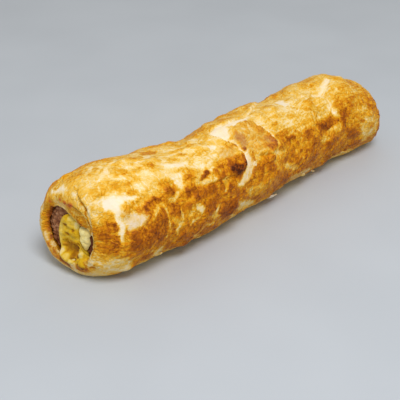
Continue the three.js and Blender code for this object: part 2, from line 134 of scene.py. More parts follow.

# Baked patches, and a few patches of painted shade marked below, as (tone, softness in mm, outline of [s,
# angle] points), painted in order.
PATCHES = [
    # Front rim beside the opening.
    (0.42, 1.2, [(-1, 50), (6.4, 48), (6.6, 33), (4.4, 30), (-1, 36)]),
    (0.62, 1.2, [(-1, 33), (4.4, 30), (4.7, 10), (4.4, -4), (3.6, -7), (-1, -8)]),
    (0.7, 1.0, [(-0.5, 22), (2.6, 22), (3.4, 14), (3.2, 0), (-0.5, -3)]),
    (0.52, 1.0, [(4.8, 24), (6.4, 22), (6.4, -8), (4.8, -6)]),
    (0.44, 1.4, [(-1, -9), (7, -9), (7, -22), (-1, -22)]),
    (0.66, 1.6, [(3.4, 60), (4, 74), (8, 78), (13, 72), (17, 64), (13, 57), (6, 57)]),
    (0.64, 1.0, [(8, 66), (13, 66), (13, 60), (9, 59)]),
    (0.56, 1.0, [(15, 63), (22, 64), (27, 60), (25, 57), (17, 58)]),
    (0.36, 1.5, [(-1, -22), (4, -22), (5, -40), (-1, -44)]),
    # Pale star beside the rim, with the golden patch between its arms.
    (0.5, 1.0, [(7, 12), (9.5, 12), (9.5, -8), (6, -8)]),
    (0.02, 0.7, [(3.2, 44), (4.4, 57), (7, 55), (12, 51), (16, 48.5), (21, 43), (17, 43), (12, 45),
                 (9.4, 43), (9.2, 34), (7.2, 14), (6.3, 3), (5.4, 8), (5.2, 22), (6, 40), (5, 43)]),
    (0.17, 0.8, [(7, 36), (10, 35), (12.6, 32), (16, 29.6), (19, 25.4), (20.2, 21), (18, 16), (14, 13.6),
                 (8.4, 14)]),
    (0.54, 0.7, [(10.6, 42), (14, 43), (18, 41), (20, 37), (20, 30.4), (16.4, 30.6), (12.8, 33.4),
                 (10.6, 37)]),
    # Brown field low on the near side.
    (0.79, 1.5, [(9.3, 12), (11, 10.5), (14, 12), (17, 14), (22, 11), (28, 20), (31, 22), (33.5, 18),
                 (34, 4), (32, -9), (27, -13), (18, -13), (10.5, -9), (9, -3)]),
    (0.82, 1.6, [(10, 8), (14, 7), (15.5, 0), (14, -7), (10, -4)]),
    (0.86, 2.0, [(19, 8), (27, 7), (28, -6), (19, -8)]),
    (0.82, 1.4, [(28, 6), (33, 5), (32.5, -6), (28.5, -6)]),
    (0.8, 0.8, [(29.5, 23), (33, 23), (33, 10), (30, 10)]),
    # Brown, darkened further as painted shade on the side that faces down.
    (0.68, 2.0, [(12, -12), (62, -11), (66, -24), (14, -25)]),
    # Brown blotches and pale swirls behind it.
    (0.76, 1.0, [(36, 40), (39, 43), (43, 44), (42, 37), (37, 36)]),
    (0.84, 0.7, [(37, 36), (42, 37), (42, 34), (38, 33.5)]),
    (0.77, 1.2, [(36, 26), (42, 25), (41, 19), (36, 20)]),
    (0.77, 1.0, [(35.5, 18), (41, 18), (40, 13), (36, 13.5)]),
    (0.78, 1.2, [(43.5, 21), (49, 20), (49, 13), (44, 13)]),
    (0.88, 0.8, [(47, 30), (48, 35.4), (51.6, 33.6), (51, 26), (47.8, 26)]),
    (0.8, 1.6, [(52, 34), (57, 31), (66, 30), (67, 22), (60, 17), (53, 18)]),
    (0.86, 0.9, [(52, 26), (57, 25), (56, 20), (52, 20)]),
    (0.84, 1.0, [(60, 27), (66, 26), (65, 21), (61, 21)]),
    (0.8, 1.4, [(57, 14), (66, 15), (67, 5), (62, 1), (57, 4)]),
    (0.8, 1.6, [(46, -6), (58, -8), (58, -16), (48, -16)]),
    (0.84, 1.4, [(45, -10), (51, -8), (54, -20), (50, -32), (46, -20)]),
    (0.26, 0.8, [(52, 18.5), (54.8, 14.5), (57.2, 8.5), (55.2, 2), (52.8, 6.5), (51.8, 13.5)]),
    (0.5, 1.2, [(46.5, 8), (51, 8), (52, 1), (47, 0)]),
    (0.5, 1.2, [(36, 12), (42, 10), (42, 0), (37, 0)]),
    (0.77, 1.0, [(30.5, 24), (32.5, 22), (33.4, 9), (31.8, -3), (28.5, -1.5), (28.5, 7.5), (29.5, 15.5)]),
    (0.77, 1.4, [(43, -4), (51, -8), (51, -23), (47, -34), (41, -22)]),
    (0.77, 1.4, [(57, -21), (66, -22), (68, -40), (60, -40), (56.5, -32)]),
    # Cream and gold over the near shoulder.
    (0.18, 2.0, [(20, 55), (30, 62), (46, 64), (58, 65), (58, 58), (44, 55), (34, 52), (22, 45)]),
    (0.04, 1.0, [(44, 66), (52, 64.5), (59, 64), (59, 59.5), (50, 58), (45, 60)]),
    (0.1, 1.0, [(26, 67), (31, 67), (36, 62), (33, 56), (27, 58)]),
    (0.1, 0.7, [(24.5, 74), (26, 78.5), (30, 77), (30, 73.5), (27, 72)]),
    (0.14, 0.8, [(17, 71), (20, 73), (22.5, 70), (21, 67), (18, 67)]),
    (0.12, 0.8, [(33, 77), (35, 82), (38, 80), (36, 75.5)]),
    (0.16, 0.8, [(39, 83), (42, 89), (45, 87), (43, 82)]),
    (0.16, 1.0, [(43.5, 52), (49, 51), (49, 40), (46, 36), (43.5, 44)]),
    (0.56, 1.0, [(34, 49), (40, 51), (43, 48), (42, 43), (35, 43)]),
    (0.52, 1.0, [(16, 53), (21, 54), (22, 49), (17, 47)]),
    (0.6, 1.2, [(49.5, 56), (56, 57), (58, 48), (55, 40), (50, 39)]),
    (0.62, 0.8, [(51, 48), (54.5, 48), (54, 42), (51, 42)]),
    (0.56, 1.2, [(19, 84), (26, 90), (29, 86), (26, 79), (19, 80)]),
    (0.58, 0.9, [(18, 79), (24, 79), (28, 74), (24, 70), (18, 72)]),
    (0.54, 0.9, [(24, 70), (30, 73), (33, 70), (28, 66)]),
    (0.6, 1.0, [(31, 88), (34, 95), (39, 98), (37, 86)]),
    (0.5, 1.0, [(40, 80), (47, 84), (50, 80), (44, 77)]),
    (0.56, 0.8, [(34, 70), (41, 75), (47, 76), (47, 72.4), (41, 70), (36, 66)]),
    (0.56, 0.8, [(49, 73), (56, 77), (57, 73), (53, 68), (49, 66)]),
    (0.76, 1.4, [(43, 93), (45, 103), (52, 108), (54, 98), (50, 92), (45, 90)]),
    (0.62, 1.5, [(60, 97), (64, 105), (67, 103), (65, 95)]),
    # Round the middle flap.
    (0.93, 0.6, [(58.3, 38.8), (60, 38), (63, 39), (65, 41), (65.8, 45), (64.5, 48), (62.3, 45.5),
                 (60, 42.5)]),
    (0.3, 0.7, [(57.5, 36.5), (62, 37), (68.5, 36), (69, 33.5), (64, 31.5), (60, 33)]),
    (0.12, 1.0, [(59.5, 50), (61, 55), (64, 53), (63, 49)]),
    (0.12, 1.0, [(66, 50), (68, 55), (71, 53), (70, 49)]),
    (0.2, 1.2, [(64, 72), (69, 77), (77, 76), (80, 68), (78, 61.5), (74, 63), (73, 70), (68, 70)]),
    (0.03, 0.7, [(74, 69), (78, 69), (79, 64), (77, 62), (74.5, 64)]),
    (0.12, 1.2, [(70, 88), (72, 96), (76, 95), (76, 88)]),
    (0.6, 1.0, [(70, 50), (76, 49), (75, 43), (70, 43)]),
    (0.66, 0.9, [(65, 40.5), (72, 43), (76, 45), (76, 41), (70, 38)]),
    (0.7, 1.0, [(72, 41), (77, 44.5), (82, 46), (87, 45), (90.4, 43), (90.2, 34), (84, 33), (76, 35)]),
    (0.86, 0.7, [(89.6, 45.5), (91, 42), (91, 34.5), (88, 33), (88.6, 38)]),
    (0.84, 0.9, [(76.5, 40), (79.5, 42), (82.8, 41), (85.5, 38), (88.2, 39.5), (90.5, 41), (91, 37),
                 (90.5, 32.5), (88.5, 29.5), (85.2, 27), (81.5, 26), (79.2, 30.5), (77.2, 35)]),
    (1.0, 0.7, [(78.2, 38), (81, 38.4), (84.2, 37.4), (87.5, 36), (89.8, 37.4), (90.8, 34), (88.5, 28.6),
                (85.2, 26), (81.6, 25.2), (79, 31)]),
    (0.76, 0.8, [(66, 29), (70, 31), (74, 33), (75, 30), (71, 28.5), (67, 26.5)]),
    (0.84, 0.5, [(72, 31.5), (74, 32), (74, 29.5), (72.3, 29)]),
    (0.62, 1.0, [(77, 49), (82, 50), (83, 46), (78, 45)]),
    (0.5, 1.5, [(82, 66), (87, 66), (89.5, 54), (89, 47), (84, 48)]),
    (0.16, 0.7, [(91.5, 46), (94.5, 44), (95.2, 39), (94.2, 33), (97.2, 31), (96.8, 26.5), (93, 22),
                 (91.2, 17.5), (88.2, 13.5), (85, 10), (81.2, 14.5), (83.8, 19.5), (86.5, 25.5),
                 (90.2, 31), (90.8, 37.5)]),
    (0.3, 0.7, [(88, 22), (90.5, 24), (92, 20), (89, 17)]),
    (0.34, 0.5, [(92.5, 29), (94.5, 28), (93.6, 24), (92, 25)]),
    (0.28, 0.5, [(85, 16), (87, 17), (87, 13), (85, 12.6)]),
    # Brown lobe beyond the flap.
    (0.44, 0.8, LOBE),
    (0.4, 0.8, [(96.8, 79), (98.8, 79), (103, 75), (101, 69), (96.2, 69.5), (94.6, 74.5)]),
    (0.64, 1.2, [(104.8, 76), (109, 73), (112, 57), (113.6, 46), (111.6, 44), (108.2, 52), (104.5, 63.5),
                 (102.8, 71.5)]),
    (0.54, 1.0, LOBE_TIP),
    (0.82, 1.0, [(107, 38.5), (109, 36.5), (112.8, 38.5), (112.8, 34.5), (110.8, 31.4), (108, 31),
                 (106.6, 34.5)]),
    (0.6, 1.0, LOBE_MIDDLE),
    (0.9, 0.5, [(92.4, 51), (94.8, 49.6), (95.4, 46.8), (93, 46), (92, 48)]),
    (0.66, 0.6, [(97.2, 42.5), (99.8, 38), (98.8, 33), (96.4, 31.6), (95.4, 33), (96.2, 37)]),
    (0.46, 0.7, [(98.6, 37.6), (102, 34), (101, 28), (98, 29)]),
    (0.24, 1.0, [(111, 30.6), (114.4, 32), (114.6, 25.5), (110, 24.4)]),
    # Painted shade just inside the lobe's raised end.
    (0.76, 0.6, [(110.8, 46.5), (113.6, 46.5), (114.2, 40), (113.2, 34.5), (110.4, 32.4), (109.6, 36),
                 (111.4, 40)]),
    # The bare seam on the crown.
    (0.0, 1.3, [(82.7, 90), (86, 92.5), (92, 90.5), (96, 89), (104, 88.5), (110, 87.5), (114, 86.5),
                (112, 82.5), (104, 79.2), (98, 78.8), (95.5, 82), (93, 77), (90, 69), (87.6, 67),
                (85.5, 72), (83.6, 80)]),
    (0.24, 1.4, [(111, 88), (116, 91.5), (121, 97), (127, 107), (130, 109), (125, 98), (120, 91),
                 (115, 86.5)]),
    (0.56, 1.5, [(90, 96), (96, 106), (112, 108), (113, 94), (100, 92)]),
    (0.7, 1.0, [(75.5, 99), (78, 101), (80, 98), (78, 95)]),
    # Lower side from the flap to the far end.
    (0.88, 1.8, [(67, -3), (72, 3), (78, 5), (81, 0), (81, -10), (78, -20), (72, -21), (68, -10)]),
    (0.82, 0.9, [(70, 13), (76, 17), (77, 13), (72, 10)]),
    (0.76, 1.5, [(75, 12), (87, 8), (88, -4), (83, -4), (77, 6)]),
    (0.4, 0.9, [(62.5, -2), (66, 0), (66, -6), (64, -10)]),
    (0.25, 1.5, [(81.5, -7), (84, -9), (91, -17), (97, -28), (98, -36), (88, -34), (84, -20)]),
    (0.5, 1.8, [(88, 4), (99, 4), (104, -8), (100, -18), (90, -10)]),
    (0.72, 2.0, [(94, 18), (103, 22), (110, 18), (110, 2), (100, 4)]),
    (0.86, 1.2, [(104, 18), (108, 19), (110.5, 12), (109, 6), (104.5, 9)]),
    (0.5, 1.5, [(110, 26), (120, 24), (122, 15), (112, 12)]),
    (0.25, 0.8, [(108, 30), (113, 30), (115, 26), (110, 24.5)]),
    (0.66, 1.2, [(115, 42), (121, 42), (121, 30), (116, 30)]),
    (0.4, 0.6, [(114.6, 50), (116.6, 49), (117.4, 42), (117, 35), (115.6, 30.5), (114.6, 33), (115.2, 40)]),
    (0.72, 1.0, [(114, 15), (121, 14), (121, 9), (115, 9)]),
    (0.32, 1.2, [(116, 9), (120, 8), (126, 2), (131, -7), (127, -9), (121, -3), (117, 3)]),
    (0.84, 1.8, [(112, -5), (118, -7), (124, -13), (125, -24), (116, -24)]),
    (0.66, 1.2, [(120.5, 30), (126, 30), (126, 20), (121, 20)]),
    (0.88, 0.6, [(123.7, 32.5), (125.5, 36), (128, 35.3), (131.5, 33), (130, 30), (127, 30.7)]),
    (0.8, 0.8, [(135.5, 31), (141, 31.5), (145.5, 31), (142, 27), (137, 28)]),
    (0.7, 1.5, [(134, 26), (143, 26), (143, 14), (136, 14)]),
    (0.62, 2.0, [(129, 12), (148, 12), (154, -2), (148, -7), (130, -7)]),
    (0.76, 1.6, [(128, -10), (149, -10), (150, -18), (129, -18)]),
    (0.3, 1.0, [(132.5, 39), (136, 42.5), (140.5, 40), (139.5, 36.5), (135, 36.5)]),
    (0.4, 1.2, [(149.5, 16), (153, 17), (157, 8), (153, 4), (150, 9)]),
    (0.84, 1.2, [(150, 32), (153, 34.5), (158, 34), (163, 31), (166, 26), (163, 21), (158, 18.5),
                 (155, 21), (151, 26)]),
    (0.93, 0.8, [(151.5, 30), (156, 31), (158, 26), (160.6, 22), (160.4, 18.4), (157, 19), (154.5, 24)]),
    (0.78, 1.0, [(162, 33), (168, 33), (168, 22), (163, 21)]),
    # Cream and gold beyond the seam.
    (0.52, 1.5, [(123, 86), (126, 97), (131, 96), (130, 86)]),
    (0.2, 1.2, [(121, 81), (125, 84), (131, 78), (127, 75)]),
    (0.26, 1.5, [(110.5, 78), (116, 76), (117, 60), (114.5, 52), (112.5, 62)]),
    (0.56, 1.0, [(118, 60), (123, 61), (123.5, 54.5), (119, 53.5)]),
    (0.2, 1.2, [(126.5, 55), (132, 56), (135, 50), (131, 46), (127, 48)]),
    (0.52, 1.5, [(133, 63), (141, 64), (141, 55), (134, 54)]),
    (0.04, 0.9, [(137, 92), (141, 94.5), (145, 92), (143.3, 84), (143, 73), (138, 72), (138.5, 82)]),
    (0.2, 1.5, [(128, 74), (138, 76), (138, 68), (130, 66)]),
    (0.22, 1.2, [(148, 82), (155, 79), (157, 75), (150, 72)]),
    (0.5, 1.8, [(148, 73), (158, 72), (161, 62), (154, 58), (147, 64)]),
    (0.52, 1.5, [(146, 110), (150, 92), (158, 94), (160, 110)]),
    (0.6, 1.0, [(164, 87), (168, 90), (169, 86), (166, 84)]),
    (0.54, 1.2, [(160, 90), (165, 97), (167, 92), (163, 86)]),
    (0.5, 1.0, [(161.5, 83), (168, 84), (167, 77), (163, 76)]),
    # Open fold near the far end.
    (0.16, 1.0, [(155, 80), (160, 75.5), (164, 71.5), (167, 68), (167, 63), (163, 66.5), (159, 72)]),
    (0.09, 0.9, [(164, 67.5), (167, 71), (171, 77.5), (175, 82), (181, 85.4), (181.4, 81), (176, 75),
                 (171, 68.5), (168, 64.5), (166.3, 62.5)]),
    (0.24, 0.9, [(165.5, 64), (168, 64), (168.3, 54), (167.5, 44), (169, 30), (166.5, 30), (165, 42),
                 (164, 52)]),
    (0.5, 1.8, [(168.5, 64), (181, 66), (183, 50), (170, 48)]),
    (0.66, 1.2, [(168.5, 48), (175, 49), (180, 44), (181, 34), (173, 33), (169, 38)]),
    (0.9, 0.9, [(169.5, 32), (173.5, 32), (174.5, 26), (173, 21), (174, 12), (170.8, 16), (169.8, 24)]),
    (0.76, 1.0, [(173, 30), (178, 28), (178, 22), (174, 22)]),
    (0.86, 1.4, [(171.5, 15), (175, 11), (180, 3), (184, -6), (184, -22), (177, -22), (175, -8), (173, 4)]),
    (0.72, 2.0, [(166, -6), (176, -8), (186, -14), (187, -30), (172, -26)]),
    (0.42, 1.0, [(161, 19), (168, 22), (170, 17), (168, 12), (163, 15)]),
    (0.34, 1.4, [(126.5, -20), (133.5, -18), (142, -22), (147, -33), (136, -38), (129, -35)]),
    # Far end.
    (0.6, 2.5, [(181, 82), (196, 92), (211, 96), (211, 20), (196, 22), (182, 30)]),
    (0.5, 1.5, [(176, 30), (194, 28), (196, 20), (178, 20)]),
    (0.48, 1.5, [(180, 62), (192, 64), (192, 54), (181, 50)]),
    (0.72, 1.2, [(191, 74), (200, 82), (204, 78), (201, 66), (195, 64)]),
    (0.72, 1.2, [(196, 38), (202, 38), (202, 22), (197, 24)]),
    (0.7, 1.2, [(200, 62), (206, 60), (206, 44), (200, 44)]),
    (0.36, 2.0, [(184, 16), (201, 18), (206, 8), (203, -16), (190, -28), (186, -8)]),
    (0.62, 1.0, [(185.5, 14), (189.5, 15), (190, 9), (186, 8)]),
    (0.64, 1.2, [(193.5, 5), (198, 4), (198, -1), (194, -1)]),
    # Pale underside where the roll rested on its tray.
    (0.24, 1.6, [(3.5, -15), (9, -15), (13, -27), (17, -46), (2, -46)]),
    (0.5, 1.0, [(4.5, -9), (8, -9), (8.5, -15), (5, -15)]),
    (0.78, 1.2, [(11.5, -10), (20, -12), (22, -24), (19, -31), (15.5, -24)]),
    (0.3, 1.5, [(24, -20), (31, -22), (36, -36), (28, -38)]),
]

# Loose flakes as (s, angle, half length, half width, heading of the tip in degrees, lift of the tip, tone).
FLAKES = [
    (113.4, -43, 5.8, 1.4, -2, 2.0, 0.08), (151.5, -44, 1.7, 0.9, 0, 1.7, 0.08),
    (138.5, -33, 3.0, 1.4, -8, 1.3, 0.3),
    (95.0, 26.0, 2.2, 1.2, 60, 1.1, 0.12), (31.0, -38, 3.2, 1.6, 8, 1.2, 0.3),
    (176.0, -38, 3.0, 1.5, 12, 1.3, 0.35),
    (58.0, 214, 4.4, 2.2, 5, 1.5, 0.25), (132.0, 208, 5.0, 2.0, -12, 1.6, 0.3),
    (186.0, 150, 3.4, 1.8, 25, 1.1, 0.5),
    (96.0, 160, 4.0, 2.0, 160, 1.2, 0.45), (22.0, 170, 3.6, 1.9, -20, 1.2, 0.5),
]

# Places that have browned to a dull, dusty mauve, as (strength, outline of [s, angle] points).
DUSTY = [
    (0.25, LOBE),
    (1.0, LOBE_MIDDLE),
    (0.8, LOBE_TIP),
    (0.4, [(79, 60), (87, 59), (89, 49), (83, 46), (76, 50)]),
    (0.5, [(126, -22), (134, -20), (143, -24), (148, -34), (136, -40), (128, -36)]),
    (0.4, [(120, 5), (126, 1), (129, -8), (122, -4)]),
    (0.36, [(7, 36), (12.6, 33), (19, 27), (21, 21), (18, 14), (8.4, 13)]),
    (0.3, [(84, 12), (94, 46), (98, 30), (90, 12)]),
]

# Thin streaks as (tone, half width in mm, [s, angle] points).
STREAKS = [
    # Dark line of a fold: painted shade in the fold.
    (0.86, 0.85, [(20, 33), (24, 34.5), (28, 36), (33, 35.5)]),
    (0.74, 0.7, [(20, 30.5), (24, 31), (30, 32.5), (34, 32)]),
    (0.86, 0.9, [(20.8, 28.2), (23, 28)]),
    (0.3, 0.9, [(21.8, 15), (24.8, 21.5), (29.2, 28)]),
    (0.36, 0.8, [(31.5, 28), (33, 19.5), (33.8, 11), (35, -1)]),
    (0.34, 1.1, [(35.8, 32), (40, 29), (44.2, 34.5)]),
    (0.28, 0.8, [(38.8, -12.5), (40, -4.5), (42.2, 3.5), (43, 11), (43, 18)]),
    (0.36, 0.8, [(47.5, -7), (51, -2), (54.5, 0.5)]),
    (0.28, 0.8, [(64.5, -13), (65.8, -3), (69, 4.5)]),
    (0.4, 0.8, [(55, -24), (57.5, -17), (62, -17.5), (66.5, -18.5)]),
    (0.42, 0.8, [(62.5, -8), (68, -10.5)]),
    (0.4, 0.7, [(51, -21.5), (55, -29), (60, -38)]),
    (0.42, 0.6, [(31.5, -10), (33, -6)]),
    (0.36, 1.0, [(72.2, 28), (74.5, 22), (71.8, 15.5)]),
    (0.3, 0.5, [(38, -37), (50, -45), (60, -48.5), (69, -48.5), (75, -42), (84, -38)]),
    (0.12, 0.9, [(9.5, 76), (13, 79), (17, 83), (20, 88)]),
    (0.16, 0.9, [(10, 93), (14, 99), (19, 106)]),
    (0.2, 0.8, [(13, 86), (17, 92), (21, 101)]),
    (0.16, 0.8, [(24, 92), (28, 96), (33, 98)]),
    (0.18, 0.8, [(50, 82), (56, 78), (62, 78), (68, 81)]),
    (0.5, 0.8, [(50, 79), (56, 75), (62, 74)]),
    (0.2, 0.8, [(56, 92), (62, 88), (68, 86)]),
    (0.5, 0.8, [(56, 86), (60, 84), (66, 82), (74, 80), (80, 78)]),
    (0.72, 0.8, [(66, 39.5), (70, 41), (74, 43)]),
    (0.4, 0.6, [(70, 33.5), (74, 36), (78, 37.3)]),
    (0.7, 0.7, [(69, 33), (73, 34.5), (78, 36.5)]),
    (0.62, 0.6, [(83.5, 63), (85, 58), (87, 52), (88.5, 48)]),
    (0.16, 0.6, [(89, 68), (89.8, 60), (91, 53), (91.8, 47)]),
    # Painted shadow under the middle flap's edge.
    (0.88, 0.3, [(87.6, 68), (88.2, 62), (88.9, 56), (89.7, 50), (90.3, 46)]),
    (0.3, 0.4, [(105, 75.4), (104, 64), (104.2, 59)]),
    (0.2, 0.6, [(110.2, 77), (111.6, 63), (113.4, 54.6), (115.4, 46.4), (115.6, 38)]),
    # Painted shadow along the lobe's raised edge.
    (0.82, 0.34, [(110.7, 62), (112.3, 54), (114, 46), (114.3, 39)]),
    (0.3, 0.9, [(76, -20), (80, -27), (84, -36)]),
    (0.62, 0.6, [(140, 72), (145, 62), (150, 53), (152, 49)]),
    (0.22, 0.8, [(144, 62), (150, 68), (156, 70)]),
    (0.42, 0.8, [(156, 19), (161, 16.6), (164, 12)]),
    (0.6, 0.8, [(176, 56), (182, 60), (190, 64), (197, 68)]),
    (0.66, 0.8, [(182, 40), (190, 46), (198, 52)]),
    (0.4, 0.9, [(178, 44), (186, 50), (196, 58)]),
    (0.4, 0.8, [(181, 24), (188, 27), (196, 29)]),
    (0.3, 0.9, [(187, -4), (190, -14), (193, -24)]),
    (0.34, 1.0, [(183, 80), (188, 82), (194, 82)]),
    (0.3, 1.0, [(186, 94), (192, 100)]),
]

# How far the back of the crown and the lower front edge stand out from the even shape, as [s, mm].
CROWN_RISE = [[0, 0], [13, -0.8], [24, -0.6], [33, -0.7], [40, -1.3], [50, -1.3], [60, -0.6], [68, -1.8],
              [77, -2.5], [84, -1.7], [91, 0], [98, -0.4], [108, -1.6], [115, -1.2], [121, -0.5],
              [127, -0.8], [134, -2.0], [141, -1.4], [147, -1.6], [154, 0.4], [164, 0.2], [171, -1.2],
              [177, -0.9], [182, 0], [210, 0]]
EDGE_RISE = [[0, 0], [10, -0.7], [20, -0.8], [27, -0.3], [34, -0.9], [44, 0], [54, 0.1], [64, -0.9],
             [75, -1.0], [88, -0.4], [94, -1.0], [100, -0.4], [111, 0.1], [119, -1.2], [127, -1.6],
             [134, -0.2], [141, 0.6], [149, 0.3], [157, -0.4], [164, -1.7], [171, -0.6], [178, -0.6],
             [185, 0.5], [205, 0.6], [210, 0]]
# How far the near rim is drawn in towards the axis, as [angle, mm].
NEAR_TRIM = [[-90, 0.4], [-70, 0], [80, 0], [120, 0.3], [140, 0], [147, 0.3], [155, 0.8], [162, 1.1],
             [172, 0.6], [200, 0.6], [214, 0.6], [221, 0.35], [228, 0.2], [235, 0.1], [242, 0.35],
             [250, 0.4], [262, 0.7], [270, 0.4]]
# How far the rim slopes into the opening, as [angle, mm].
FUNNEL = [[-90, 0.2], [-40, 0.0], [100, 0.0], [135, 1.6], [165, 2.8], [190, 2.8], [215, 1.8], [240, 0.8],
          [270, 0.2]]

FUNNEL_WIDTH = 3.2

# Marks on the near end, painted over the rim and lip as (tone, softness, outline of [y, z] about the axis).
FRONT_PATCHES = [
    (0.28, 0.8, [(21, 10.4), (21, -8.6), (16.6, -7.6), (17.6, 0.4), (16.8, 9.4)]),
    (0.56, 0.6, [(17.3, 5.4), (16.2, 9.4), (12.5, 10.4), (12.5, -3.6), (15.8, -3.6), (17.3, 0.4)]),
    # Painted shade in the gap between the left inner wall and the meat.
    (0.9, 0.6, [(15.5, 4), (13.8, 8), (12.6, 10), (11, 10), (11, 0), (11.6, -6), (14.6, -5.4), (16.2, -1)]),
    (0.5, 0.8, [(16.1, -3.6), (15.1, -8.6), (11.5, -8.6), (12.5, -4.6)]),
    (0.47, 1.2, [(16.5, -4.6), (14.5, -10.6), (8.5, -15.6), (4.5, -12.6), (8.5, -8.6), (12.5, -4.6)]),
    (0.82, 0.5, [(15.4, -2.6), (13.4, -3), (13, -5), (14.8, -5)]),
    (0.14, 0.4, [(16.4, -5), (15.2, -6), (13.6, -9.2), (14.2, -10), (15.8, -8)]),
    (0.86, 0.5, [(14, -6), (12.2, -6.2), (11.8, -8.2), (13.4, -8.4)]),
    (0.2, 0.4, [(12.8, -9), (11.2, -8.8), (9.8, -11), (10.8, -12)]),
    (0.82, 0.5, [(14.4, -9.8), (13, -10), (11.6, -12.4), (12.8, -12.2)]),
    (0.8, 0.5, [(10.4, -11.8), (8.8, -12), (8.2, -13.8), (9.8, -14)]),
    (0.2, 0.4, [(8.6, -11), (7.2, -11.4), (6.8, -13), (8, -12.8)]),
    (0.86, 0.5, [(11.6, -13.2), (9.8, -14.4), (8.2, -15.8), (9.2, -16)]),
    (0.4, 1.2, [(15.5, 16.4), (13.5, 20.4), (5.5, 23.4), (-6.5, 22.4), (-6.5, 15.4), (-1.5, 11.4),
                (7.5, 12.9), (12.5, 10.4), (15.5, 10.4)]),
    (0.58, 0.8, [(14.1, 9.7), (14.1, 13.4), (11.9, 14.4), (9.9, 13.4), (9.9, 11), (11.5, 9.9)]),
    # Pale curl of the upper lip, painted lighter still as a highlight where it turns up to the light.
    (0.04, 1.0, [(13.9, 16), (11.9, 18.8), (7.7, 20.6), (4.1, 20.2), (5, 18.7), (8.1, 17.7), (11, 16.6),
                 (12.7, 15.4)]),
    # Pale bulge on the upper lip, painted as a highlight where it faces the light.
    (0.08, 0.7, [(0.5, 20.2), (-1.9, 20), (-2.1, 18.8), (-0.5, 18.4), (0.9, 18.9)]),
    (0.6, 0.5, [(13.3, 17.8), (11.3, 19), (9.1, 20), (10.1, 18.6), (11.9, 17)]),
    (0.3, 0.7, [(10.3, 11.8), (7.5, 12.4), (3.5, 12.2), (1.5, 12), (2.5, 13.8), (7.5, 14.4), (10.1, 14)]),
    (0.52, 0.8, [(2, 12), (-1.5, 10.8), (-6, 11.4), (-7.6, 13.8), (-3, 15), (2.4, 14)]),
    (0.55, 0.7, [(7.1, 17), (4.5, 17.2), (3.9, 15.2), (6.9, 14.8)]),
    (0.44, 0.8, [(3.9, 17), (1.5, 16.8), (-2.1, 16.6), (-2.5, 14), (0.7, 13.6), (3.5, 14.8)]),
    (0.57, 0.9, [(-0.1, 12.8), (-3.9, 13.6), (-7.5, 13), (-9.9, 9.4), (-11.3, 6), (-8.5, 5.4), (-5.5, 6),
                 (-3.5, 7), (-1, 9), (1, 10.6)]),
    (0.36, 0.5, [(-1.1, 11.8), (-3.5, 12.8), (-6.5, 12), (-4.5, 11), (-2.5, 10.6)]),
    # Painted shade under the tongue's lower edge.
    (0.8, 0.6, [(-2.9, 8.6), (-5.9, 7.8), (-7.9, 6.2), (-5.1, 5.6), (-2.9, 6.8)]),
    # Painted shadow under the edge of the outer wrap, where it lies over the lip.
    (0.78, 0.3, [(-4.3, 19.2), (-6.4, 17.6), (-8.7, 15.2), (-10.4, 12.2), (-11.7, 8.4), (-12.6, 3.4),
                 (-12.3, 3.2), (-11.3, 8), (-9.9, 11.8), (-8.2, 14.6), (-5.9, 17.2)]),
    (0.2, 0.4, [(-8.9, 16.2), (-10.7, 12.8), (-12.1, 8.4), (-12.9, 3.4), (-13.2, -2.6), (-12.9, -7.6),
                (-13.9, -7.6), (-14.2, -2.6), (-14, 3.4), (-13.2, 8.4), (-11.9, 13.4), (-10.1, 16.8)]),
    (0.2, 0.5, [(-13.9, -7.2), (-12.3, -9.8), (-10.9, -12.2), (-9.1, -14.4), (-10.5, -15.4),
                (-12.9, -13.6), (-14.9, -10.6), (-15.9, -8)]),
    (0.85, 0.35, [(-10.7, -14.4), (-13.5, -12.2), (-15.5, -10), (-14.1, -12.4), (-11.7, -14.5)]),
    (0.3, 1.2, [(-5.5, -16.6), (-10.5, -16.2), (-16.5, -13), (-21.5, -12.6), (-14.5, -19.6),
                (-6.5, -20.6)]),
    (0.84, 0.8, [(5.8, -14.2), (1.4, -15.2), (-0.6, -16.4), (-0.6, -18.6), (2.4, -18.4), (6, -16.8)]),
    (0.74, 0.6, [(7.8, -14.4), (6.2, -14.8), (6, -16.4), (7.6, -16)]),
    (0.76, 0.8, [(-4.4, -13.6), (-8.5, -12.4), (-10.6, -13.6), (-10.4, -17), (-6.5, -18.6), (-4.4, -17.6)]),
    (0.24, 0.6, [(-1.1, -13.6), (-3.1, -14), (-3.9, -17.6), (-2.5, -17.8)]),
    (0.74, 0.5, [(8.3, -13.8), (6.7, -14), (6.3, -15.8), (7.9, -15.8)]),
    (0.66, 0.5, [(6.5, -12.2), (5.3, -12.6), (5.1, -14.2), (6.3, -14)]),
]
# Dusty parts of the lip, as (strength, outline of [y, z]); on the first two, low on the lip, the dulling is
# painted shade where the lip faces down.
FRONT_DUST_AND_SHADE = [
    (0.35, [(17.5, -3.6), (15.5, -11), (9, -17), (4, -14.5), (9, -8), (12.5, -3.6)]),
    (0.35, [(5, -14.5), (-4, -15), (-10, -14.5), (-12, -19), (5, -20)]),
    (0.45, [(10.3, 11.4), (3.5, 12), (-1.5, 11.4), (0, 13.4), (7.5, 14.6), (10.1, 14.4)]),
]
# Spots that have turned red, as [y, z, radius].
BLUSHES = [(3.3, 15.0, 1.4), (-0.5, 14.8, 1.6), (1.2, 14.0, 0.8), (6.2, 15.4, 0.7), (12.2, 12.2, 0.7)]

